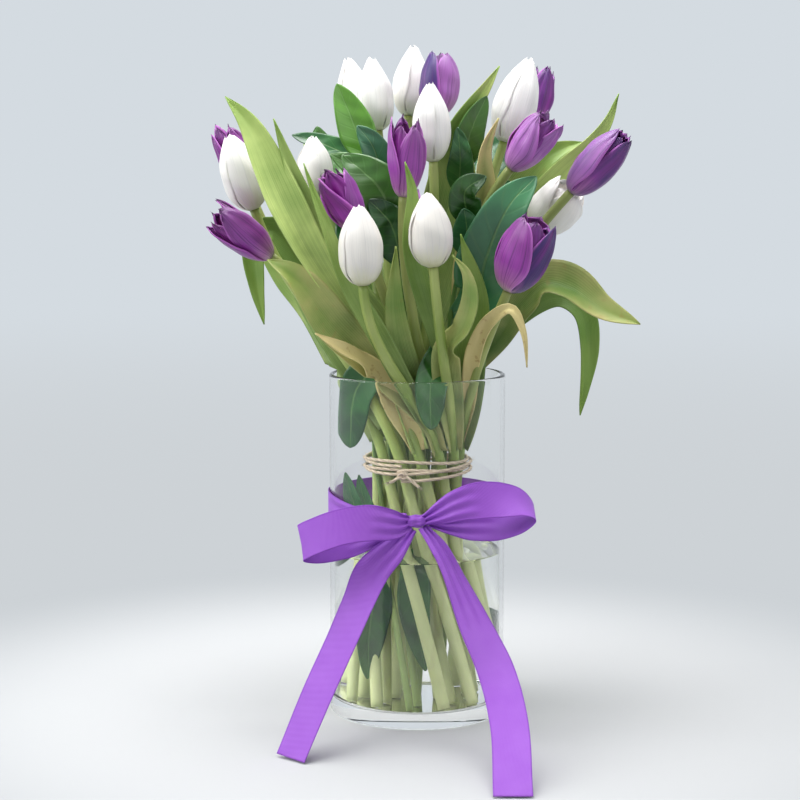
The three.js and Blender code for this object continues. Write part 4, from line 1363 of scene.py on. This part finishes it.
@dataclass
class Leaf:
    """A leaf that grows from its plant's stem along a midrib curve."""

    plant: Plant  # the plant that carries it
    height: float  # the height of its root on the stem
    midrib: Sequence[Point]  # points along its midrib
    width: float  # its full width
    face_base: Point  # the way its upper face looks at the root
    face_tip: Point  # the way its upper face looks at the tip
    tone: float  # how withered or bluish it is, or below nought for how pale or fresh
    form: LeafForm  # what kind of leaf it is
    seed: int  # what draws its waves and its tone
    blooms: Sequence[Bloom]  # the blooms that it stays out of

    ROWS, COLUMNS = 56, 15
    INSIDE_GLASS, NEAR_GLASS, RIM = 57.6, 76.0, 246.0
    SHEATH = (42.0, 14.0)
    LEAST = 0.3

    def patch(self) -> Patch:
        """The leaf's middle surface.

        Along the leaf u runs from its root to its tip, and across it v runs from -1 to 1.
        The half width is that of a leaf that opens as a quarter sine and closes as
        (1 - u^taper)^point. A point lies at midrib + v half side + lift up, where lift is a
        shallow bowl fold |v|^1.5, closer round the stem at the root, plus waves that grow
        towards the rims.

        Returns:
            The patch.
        """
        shape = LEAF_SHAPES[self.form]
        root = [self.plant.at_height(height) for height in self.roots()]
        spine = catmull([*root, *self.midrib], self.ROWS)
        share = np.linspace(0, 1, self.ROWS)
        u, v = np.meshgrid(share, np.linspace(-1, 1, self.COLUMNS), indexing="ij")
        along = unit(np.gradient(spine, axis=0))
        face = np.outer(1 - share, self.face_base) + np.outer(share, self.face_tip)
        side = unit(np.cross(along, face))
        up = -np.cross(along, side)
        full = self.width / 2
        half = shape.broad * full * (
            shape.base + (1 - shape.base) * opening(u / shape.widest, shape.rise))
        half = np.maximum(half * closing(u, shape.taper, shape.point), self.LEAST)
        phase = np.random.default_rng(self.seed).uniform(0, 2 * math.pi, 2)
        turns = 2 * math.pi * shape.waves * u
        wave = np.where(v > 0, np.sin(turns + phase[0]), np.sin(1.15 * turns + phase[1]))
        fold = shape.fold * (1 + shape.clasp * (1 - smooth_step(0, 0.3, u)))
        lift = fold * half * np.abs(v) ** 1.5
        lift = lift + shape.wave * wave * v**2 * smooth_step(0.1, 0.5, u) * (half / full)
        lift = lift + 0.3 * ripple(u * 2, v, self.seed + 5)
        points = (spine[:, None] + side[:, None] * (v * half)[..., None]
                  + up[:, None] * lift[..., None])
        return Patch(self.cleared(points), np.stack([v, u], axis=-1), tint=self.tints())

    def roots(self) -> list[float]:
        """Heights of the points on the stem that the leaf's base follows.

        Returns:
            The root alone, or for a tulip's leaf above the tie two heights on its sheath.
        """
        if self.form.leathery or self.height < TIE_TOP:
            return [self.height]
        low, high = (self.height - below for below in self.SHEATH)
        return [max(TIE_TOP, low), max(TIE_TOP + 8, high)]

    def tints(self) -> tuple[float, float]:
        """The two numbers that the finish reads.

        Returns:
            How bluish and how fresh a leathery leaf is, or how pale and how withered a
            tulip's leaf is.
        """
        if self.form.leathery:
            return max(self.tone, 0.0), max(-self.tone, 0.0)
        if self.tone < 0:
            return -self.tone, 0.0
        return float(np.random.default_rng(self.seed + 99).uniform(0.0, 0.5)), self.tone

    def cleared(self, points: Array) -> Array:
        """Points moved out of the blooms' eggs and kept inside the glass below its rim.

        In an egg's own scale a point at distance d from its centre moves to
        (d^10 + 1)^(1/10), so only points near or inside the egg move.

        Args:
            points: The leaf's points.

        Returns:
            The moved points.
        """
        for bloom in self.blooms:
            plant = bloom.plant
            centre = np.array(plant.base) + plant.axis * plant.length * 0.48
            rest = points - centre
            along = np.sum(rest * plant.axis, axis=-1, keepdims=True)
            across = rest - along * plant.axis
            half_length, half_width = plant.length * 0.56, bloom.width / 2 + 1.6
            distance = np.sqrt((along / half_length) ** 2
                               + np.sum(across**2, axis=-1, keepdims=True) / half_width ** 2)
            distance = np.maximum(distance, 1e-3)
            points = centre + rest * (distance**10 + 1) ** 0.1 / distance
        radius = np.linalg.norm(points[..., :2], axis=-1)
        caught = ((points[..., 2] < self.RIM) & (radius > self.INSIDE_GLASS)
                  & (radius < self.NEAR_GLASS))
        scale = np.where(caught, self.INSIDE_GLASS / np.maximum(radius, 1), 1.0)
        return np.concatenate([points[..., :2] * scale[..., None], points[..., 2:]], axis=-1)


@dataclass
class Bouquet:
    """All the tulips and sprigs."""

    # a tulip stem's radius at its foot and at its end
    tulip_radii: tuple[float, float] = (4.2, 3.3)
    twig_radii: tuple[float, float] = (2.3, 1.5)  # a twig's radius at its foot and at its end

    TINGES = {"white": 0.1, "purple": 0.45}

    def __post_init__(self) -> None:
        """Makes every plant and bloom from the tables."""
        self.twigs = [Plant(*row, *self.twig_radii) for row in SPRIGS]
        self.blooms = [
            Bloom(Plant(name, slot, base, tip, *self.tulip_radii), width, Form(form), turn,
                  11 * number, LOOKS.get(name, Bloom.look))
            for number, (name, slot, base, tip, width, form, turn) in enumerate(TULIPS)]

    def dress(self, plant: Plant, table: Sequence[tuple], finish: Material,
              node: str) -> None:
        """Makes one object of all the leaves of a plant, if it has any.

        Args:
            plant: The plant.
            table: The leaves' rows; a row's number in it is the leaf's seed.
            finish: The material.
            node: The CAD node that the leaves are part of.
        """
        leaves = [
            Leaf(plant, *sizes, LeafForm(form), number, self.blooms)
            for number, (owner, *sizes, form) in enumerate(table) if owner == plant.name]
        if not leaves:
            return
        make_piece(f"leaves_{plant.name}", [leaf.patch() for leaf in leaves], finish, node,
                   LEAF_SHAPES[leaves[0].form].thickness)

    def build(self) -> None:
        """Makes the stems, leaves and blooms."""
        stem, leaf, foliage, twig, heart = (
            look.build() for look in (TULIP_STEM, TULIP_LEAF, FOLIAGE, TWIG, HEART))
        petals = {"white": WHITE_PETAL.build(), "purple": PURPLE_PETAL.build()}
        for bloom in self.blooms:
            plant, kind = bloom.plant, bloom.plant.kind
            node = f"tulip_stem_{plant.name}"
            stalk = plant.stem(16, tinge=self.TINGES[kind])
            make_piece(f"stem_{plant.name}", [stalk], stem, node)
            self.dress(plant, BLADES, leaf, node)
            slot, node = f"{kind}_petal", f"tulip_bloom_{plant.name}"
            make_piece(f"bloom_{plant.name}", [bloom.petal(number) for number in range(6)],
                       petals[kind], node, bloom.THICKNESS)
            if bloom.form is not Form.BUD:
                make_piece(f"heart_{plant.name}", bloom.heart(), heart, node)
        for plant in self.twigs:
            node = f"foliage_{plant.name}"
            joints = [height for owner, height, *_ in OVALS if owner == plant.name]
            make_piece(f"twig_{plant.name}", [plant.stem(12, joints)], twig, node)
            self.dress(plant, OVALS, foliage, node)


# ------------------------------------------------------------------ vase and water

@dataclass
class Vase:
    """The glass cylinder and the water in it, both turned round Z."""

    radius: float = 62.5  # the glass's outer radius
    height: float = 243.0  # its height
    wall: float = 3.2  # the wall's thickness
    floor: float = 10.0  # the height of the floor inside
    foot: float = 1.2  # the radius of the outer bottom corner
    inner_corner: float = 4.5  # the radius of the corner inside, between floor and wall
    stand: float = 52.0  # the radius of the flat that it stands on
    middle: float = 0.6  # the radius of the small cap that closes each profile on the axis
    water_level: float = 116.0  # the height of the water's surface
    gap: float = 0.05  # how far the water stays from the glass
    meniscus: float = 1.2  # how far the water climbs up the wall
    sides: int = 192  # points round the vase

    LONG, HOLD = 2.0, 0.3

    def held(self, profile: Sequence[Pair]) -> Array:
        """Adds a point near each end of long spans, so that smooth shading turns at corners.

        Args:
            profile: Pairs of a radius and a height.

        Returns:
            The profile with the added points, start + share * span.
        """
        rim = np.array(profile, dtype=float)
        spans = np.diff(rim, axis=0)
        lengths = np.linalg.norm(spans, axis=1)
        near = self.HOLD / lengths
        shares = np.stack([near, 1 - near, np.ones_like(near)], axis=1)
        wanted = np.stack([lengths > self.LONG] * 2 + [lengths >= 0], axis=1)
        points = rim[:-1, None] + spans[:, None] * shares[..., None]
        return np.vstack([rim[:1], points[wanted]])

    @staticmethod
    def corner(centre: Pair, radius: float, start: float, end: float, steps: int = 8) -> list[Pair]:
        """Points on an arc of a profile.

        Args:
            centre: The arc's centre.
            radius: Its radius.
            start: The angle of its first point, in degrees.
            end: The angle of its last point.
            steps: How many points it has.

        Returns:
            The points, as pairs of a radius and a height.
        """
        angles = np.radians(np.linspace(start, end, steps))
        return [(centre[0] + radius * math.cos(a), centre[1] + radius * math.sin(a))
                for a in angles]

    def build(self) -> None:
        """Makes the glass and the water."""
        inner, half, corner = self.radius - self.wall, self.wall / 2, self.inner_corner
        glass = [(self.middle, 0), (self.stand, 0),
                 *self.corner((self.radius - self.foot, self.foot), self.foot, -90, 0),
                 *self.corner((self.radius - half, self.height - half), half, 0, 180, 14),
                 *self.corner((inner - corner, self.floor + corner), corner, 0, -90),
                 (self.middle, self.floor)]
        wet, bed, top = inner - self.gap, self.floor + self.gap, self.water_level
        water = [(self.middle, bed), (wet - corner, bed),
                 *self.corner((wet - corner, bed + corner), corner, -90, 0),
                 (wet, top + self.meniscus), (wet - 0.9, top + 0.35), (wet - 2.6, top),
                 (self.middle, top)]
        for name, profile, finish, slot, node in (
                ("glass_cylinder", glass, GLASS, "glass", "glass_vase"),
                ("water_body", water, WATER, "water", "water")):
            patch = turned(self.held(profile), self.sides, True)
            make_piece(name, [patch], finish.build(), node)


# ------------------------------------------------------------------ twine

@dataclass
class Twine:
    """Loose turns of three-ply jute round the bunch, with a small knot and frayed ends."""

    bunch: float = 35.9  # the radius of the bunch inside the turns
    radius: float = 1.15  # the twine's radius
    turns: int = 4  # how many turns there are
    pitch: float = 2.6  # how far each turn lies above the last
    # how much the turns slant, from the first to the last
    slants: tuple[float, ...] = (3.2, 0.4, -2.4, 1.0, 3.4, -0.6, -3.0, 1.5, 2.8)
    height: float = 179.0  # the height of the turns' middle
    plies: int = 3  # how many plies it is laid from
    lay: float = 7.0  # the length along the twine from one ply to the next

    KNOT = ((-14, 0.8, 177), (-10, -0.6, 178.5), (-7.5, -0.2, 176), (-9.5, -1.4, 173.2),
            (-13, -0.8, 174), (-11.5, -2.2, 177), (-8, -1.6, 175.5), (-10, 0.4, 172.8))
    ENDS = (((-10, 0, 175.2), (-13.5, -2.2, 173.8), (-17, -2.4, 171.6), (-19.4, -2.5, 170.8)),
            ((-10, 0, 175.2), (-6, -2.6, 173.6), (-2, -3.3, 170), (1, -3.8, 167.6)))
    HAIRS = 320
    BRISTLES = 26

    def strand(self, centres: Array, across: Array) -> Patch:
        """A laid rope: r (0.78 + 0.26 |cos(plies / 2 (a - twist s))|) round its path.

        Args:
            centres: The path.
            across: A direction roughly square to the path, for all of it or at each step.

        Returns:
            The patch.
        """
        twist = 2 * math.pi * lengths_along(centres)[:, None] / (self.lay * self.plies)
        turn = round_turn(12)[None] - twist
        radii = self.radius * (0.78 + 0.26 * np.abs(np.cos(self.plies / 2 * turn)))
        return tube(centres, radii, across)

    def build(self) -> None:
        """Makes the turns, the knot, the ends and the loose hairs as one object."""
        steps = 1150
        share = np.linspace(0, 1, steps)
        angle = 2 * math.pi * self.turns * share - math.pi / 2 - 0.3
        marks = np.linspace(0, 100, len(self.slants))
        rows = np.stack([marks, self.slants, np.zeros(len(marks))], axis=1)
        slant = catmull(rows, steps)[:, 1] * np.sin(angle + 0.6)
        height = self.height + self.pitch * self.turns * (share - 0.5) + slant
        loose = 1.25 * (1 + np.sin(math.pi * self.turns * share + 0.4)) + 0.25 * np.sin(5 * angle)
        spoke = np.stack([np.cos(angle), np.sin(angle), np.zeros(steps)], axis=1)
        turns = spoke * (self.bunch + loose)[:, None] + [0, 0, 1] * height[:, None]
        front = np.array([0, -self.bunch - self.radius, 0])
        ends = [points + front for points in self.ENDS]
        patches = [self.strand(turns, spoke)]
        for points in (self.KNOT + front, *ends):
            patches.append(self.strand(catmull(points, 60), np.array([0.0, -1.0, 0.2])))
        patches += self.hairs(turns, spoke) + self.fray(ends)
        make_piece("jute_twine", patches, JUTE.build(), "twine_tie")

    def hairs(self, turns: Array, spoke: Array) -> list[Patch]:
        """Short loose fibres that stand off the turns.

        Args:
            turns: The turns' centreline.
            spoke: The way outwards at each of its points.

        Returns:
            The fibres.
        """
        draw = np.random.default_rng(5)
        steps = np.linspace(0, 1, 4)[:, None]
        fibres = []
        for pick in draw.integers(4, len(turns) - 4, self.HAIRS):
            root = turns[pick] + spoke[pick] * self.radius * 0.8
            way = unit(spoke[pick] * draw.uniform(0.3, 1) + draw.normal(0, 0.7, 3))
            bend = draw.normal(0, 0.5, 3)
            path = root + way * steps * draw.uniform(1.2, 3.2) + bend * steps**2
            fibres.append(self.fibre(path))
        return fibres

    def fray(self, ends: Sequence[Array]) -> list[Patch]:
        """A brush of fibres at each cut end.

        Args:
            ends: The points of each end.

        Returns:
            The fibres.
        """
        draw = np.random.default_rng(6)
        steps = np.linspace(0, 1, 4)[:, None]
        fibres = []
        for points in ends:
            for _ in range(self.BRISTLES):
                way = unit(points[-1] - points[-2]) + draw.normal(0, 0.35, 3)
                reach = points[-1] + way * steps * draw.uniform(1.5, 4)
                fibres.append(self.fibre(reach + draw.normal(0, 0.4, 3) * steps**2))
        return fibres

    @staticmethod
    def fibre(path: Array) -> Patch:
        """One thin three-sided fibre that tapers to its end."""
        radii = np.linspace(0.09, 0.03, len(path))[:, None] * np.ones((1, 3))
        return tube(path, radii, np.array([0.31, -0.2, 0.93]))


# ------------------------------------------------------------------ ribbon

@dataclass
class Ribbon:
    """The ribbon's band, knot, loops and tails, each a strip of one width."""

    width: float = 25.0  # the ribbon's full width
    thickness: float = 0.32  # its thickness
    pleats: int = 3  # folds across the ribbon where it is gathered into the knot
    # how high the folds stand, as a share of what the spare cloth would fill
    fullness: float = 0.55
    band_radius: float = 63.5  # the band's radius at the back
    band_raise: float = 0.4  # how much further out it stands where it is gathered
    band_gathered: float = 8.0  # its width where it goes under the knot
    band_height: float = 147.0  # the height of its middle at the back
    knot_middle: Point = (-1.0, -69.9, 149.0)  # the middle of the knot
    knot_half: float = 6.4  # half the knot's length
    knot_radius: float = 4.5  # the knot's radius in its middle
    finish: Material = field(default_factory=RIBBON_FINISH.build)  # the material

    ACROSS = 41
    HOLDS = {"bow": "folded", "ribbon": "hung"}

    def strip(self, centres: Array, side: Array, widths: Array) -> Array:
        """Points of a strip that is gathered into pleats where it is narrower than the ribbon.

        Across the strip v runs from -1 to 1, and a point lies at centre + v w/2 side + h up.
        The pleats are h = H sin(pi pleats v + 0.6), where H is a share of the height at which
        a quarter wave's slope has the ribbon's own length.

        Args:
            centres: The strip's centreline.
            side: The direction of its width at each step.
            widths: Its gathered width at each step.

        Returns:
            The points, steps by ACROSS by three.
        """
        along = unit(np.gradient(centres, axis=0))
        side = squared(side, along)
        up = np.cross(along, side)
        v = np.linspace(-1, 1, self.ACROSS)
        spare = np.sqrt(np.clip(self.width**2 - widths**2, 0, None))
        height = spare / (4 * self.pleats) * self.fullness
        fold = height[:, None] * np.sin(math.pi * self.pleats * v[None] + 0.6)
        return (centres[:, None] + side[:, None] * (v[None] * widths[:, None] / 2)[..., None]
                + up[:, None] * fold[..., None])

    def lay(self, name: str, node: str, centres: Array, side: Array, widths: Array, held: str,
            rests_on: str) -> None:
        """Args:
            name: The piece's name.
            node: The CAD node that it stands for.
            centres: The strip's centreline.
            side: The direction of its width at each step.
            widths: Its gathered width at each step.
            held: Not used.
            rests_on: Not used.
        """
        points = self.strip(centres, side, widths)
        length = float(lengths_along(centres)[-1])
        uv = uv_grid(np.linspace(0, length, len(points)),
                     np.linspace(-self.width / 2, self.width / 2, self.ACROSS))
        piece = make_piece(name, [Patch(points, uv)], self.finish, node, self.thickness)
        self.width * MM

    @staticmethod
    def eased(row: Array) -> Array:
        """A row of numbers, each the mean of its neighbours under a bell curve."""
        bell = np.hanning(13)[1:-1]
        padded = np.pad(row, len(bell) // 2, mode="edge")
        return np.convolve(padded, bell / bell.sum(), mode="valid")

    def along_stations(self, stations: Sequence[Station], count: int) -> tuple[Array, Array, Array]:
        """A strip's centreline, width directions and widths, evenly spaced.

        The centreline is a Catmull-Rom curve, and the rest goes from station to station in
        straight lines that are eased afterwards.

        Args:
            stations: The strip's stations.
            count: How many steps to return.

        Returns:
            The centres, the directions and the widths.
        """
        points = np.array([centre for centre, _, _ in stations], dtype=float)
        centres = catmull(points, count)
        gaps = np.linalg.norm(centres[None] - points[:, None], axis=2)
        marks = np.argmin(gaps, axis=1)
        marks[0], marks[-1] = 0, count - 1
        sides = np.array([side for _, side, _ in stations], dtype=float)
        widths = [width for _, _, width in stations]
        *side, width = (
            self.eased(np.interp(np.arange(count), marks, row)) for row in (*sides.T, widths))
        return centres, np.stack(side, axis=1), width

    def build(self) -> None:
        """Makes the loops, the tails, the band and the knot."""
        for node, stations in STRIPS.items():
            self.lay(f"satin_{node}", node, *self.along_stations(stations, 150),
                     self.HOLDS[node.split("_")[0]], "satin_knot")
        self.band()
        self.knot()

    def band(self) -> None:
        """The band: full width round the sides and back, gathered and raised at the knot."""
        angles = np.linspace(-math.pi / 2 + 0.12, 1.5 * math.pi - 0.12, 300)
        near = np.minimum(np.abs(angles + math.pi / 2), np.abs(angles - 1.5 * math.pi))
        spread = self.width - self.band_gathered
        widths = self.band_gathered + spread * smooth_step(0.05, 1.5, near)
        height = self.band_height + 2 * (1 - smooth_step(0.1, 0.8, near))
        radius = self.band_radius + self.band_raise * (1 - smooth_step(0.3, 1.4, near))
        centres = np.stack([radius * np.cos(angles), radius * np.sin(angles), height], axis=1)
        side = np.tile([0.0, 0.0, 1.0], (len(angles), 1))
        self.lay("satin_band", "ribbon_band", centres, side, widths, "stretched", "glass_cylinder")

    def knot(self) -> None:
        """The knot: a gathered turn of ribbon pulled tight round the middle of the bow.

        Its radius is that of a barrel, r (1 - 0.3 |x|^3), with shallow pleats along and round
        it, and it narrows where the strips leave it at either side.
        """
        across = np.linspace(-1, 1, 49)
        x, a = np.meshgrid(across, round_turn(48), indexing="ij")
        pleat = (0.3 * np.cos(7 * a + 1.6 * x) + 0.16 * np.cos(13 * a - 2 * x)
                 + 0.2 * np.cos(7 * x + a))
        radius = self.knot_radius * (1 - 0.3 * np.abs(x) ** 3.0) + pleat * (1 - x**8)
        radius = radius * (1 + 0.06 * np.cos(2 * a))
        points = np.array(self.knot_middle) + np.stack([
            self.knot_half * x + 0.6 * np.sin(a), radius * np.cos(a), radius * np.sin(a)], axis=-1)
        uv = np.stack(np.meshgrid(across * self.width / 2, np.linspace(0, 33, 49), indexing="ij"),
                      axis=-1)
        make_piece("satin_knot", [Patch(points, uv, True, True)], self.finish, "bow_knot")


# ------------------------------------------------------------------ studio

@dataclass
class Studio:
    """Camera, lights, floor and backdrop."""

    camera_at: Point = (-12.24, -1377.7, 392.46)  # where the camera stands
    pitch: float = 0.1220  # how far it looks down, in radians
    lens: float = 87.71  # its focal length for a film 36 mm wide
    backdrop: Colour = tone(212, 219, 225)  # the colour of the backdrop
    ambient: float = 0.45  # how strongly the backdrop lights the object

    LAMPS = (("key", (-1.2, -0.6, 1.5), 1.4, 19.0), ("side", (-1.5, 0.2, 0.9), 1.2, 12.0),
             ("fill", (1.6, -0.9, 1.1), 1.6, 8.0), ("top", (0.0, 0.1, 1.4), 1.0, 24.0))
    LOOKS_AT = (0.0, 0.0, 0.25)

    def build(self) -> None:
        """Sets the studio up."""
        scene = bpy.context.scene
        scene.view_settings.view_transform = "Standard"
        camera = bpy.data.cameras.new("camera")
        camera.lens, camera.sensor_width = self.lens, 36.0
        camera.clip_end = 20.0
        eye = bpy.data.objects.new("camera", camera)
        eye.location = [value * MM for value in self.camera_at]
        eye.rotation_euler = (math.pi / 2 - self.pitch, 0.0, 0.0)
        scene.collection.objects.link(eye)
        scene.camera = eye
        self.world(scene)
        self.floor()
        for lamp in self.LAMPS:
            self.lamp(*lamp)

    def world(self, scene: bpy.types.Scene) -> None:
        """A plain pale backdrop, which lights the object less than it shows.

        Args:
            scene: The scene that gets it.
        """
        world = bpy.data.worlds.new("studio")
        world.use_nodes = True
        tree = world.node_tree
        seen = tree.nodes["Background"]
        lighting = tree.nodes.new("ShaderNodeBackground")
        for node in (seen, lighting):
            node.inputs["Color"].default_value = self.backdrop
        lighting.inputs["Strength"].default_value = self.ambient
        mix = tree.nodes.new("ShaderNodeMixShader")
        ray = tree.nodes.new("ShaderNodeLightPath").outputs["Is Diffuse Ray"]
        for source, target in ((ray, 0), (seen.outputs[0], 1), (lighting.outputs[0], 2)):
            tree.links.new(source, mix.inputs[target])
        tree.links.new(mix.outputs[0], tree.nodes["World Output"].inputs["Surface"])
        scene.world = world

    def floor(self) -> None:
        """A round pale floor that fades into the backdrop's own light away from the object."""
        radii = np.concatenate([[0.5], np.geomspace(60, 12000, 50)])
        paint = Paint("floor", {
            "Roughness": 0.8, "Specular IOR Level": 0.0, "Emission Strength": 1.0})
        x, y, _ = paint.parts(paint.place())
        away = (x * x + y * y) ** 0.5
        shade = paint.blend(away.step(0.8, 4.0), tone(205, 210, 214), self.backdrop)
        fade = away.step(0.19, 0.5)
        paint.feed("Base Color", paint.blend(fade, tone(190, 191, 192), BLACK))
        paint.feed("Emission Color", paint.blend(fade, BLACK, shade))
        profile = np.stack([radii, np.full(len(radii), -0.4)], axis=1)
        mesh_object("floor", [turned(profile, 96, False)], paint.material)

    def lamp(self, name: str, place: Point, size: float, power: float) -> None:
        """A square soft lamp that looks at the middle of the bouquet.

        Args:
            name: Its name.
            place: Where it hangs, in metres.
            size: The length of its side, in metres.
            power: Its power in watts.
        """
        light = bpy.data.lights.new(name, "AREA")
        light.size, light.energy = size, power
        lamp = bpy.data.objects.new(name, light)
        lamp.location = place
        x, y, z = np.array(self.LOOKS_AT) - np.array(place)
        lamp.rotation_euler = (math.atan2(math.hypot(x, y), -z), 0.0, math.atan2(-x, y))
        bpy.context.scene.collection.objects.link(lamp)


def main() -> None:
    """Builds the studio and every piece of the object."""
    logging.basicConfig(level=logging.INFO, format="%(message)s")
    Studio().build()
    Vase().build()
    Bouquet().build()
    Twine().build()
    Ribbon().build()


if __name__ == "__main__":
    main()
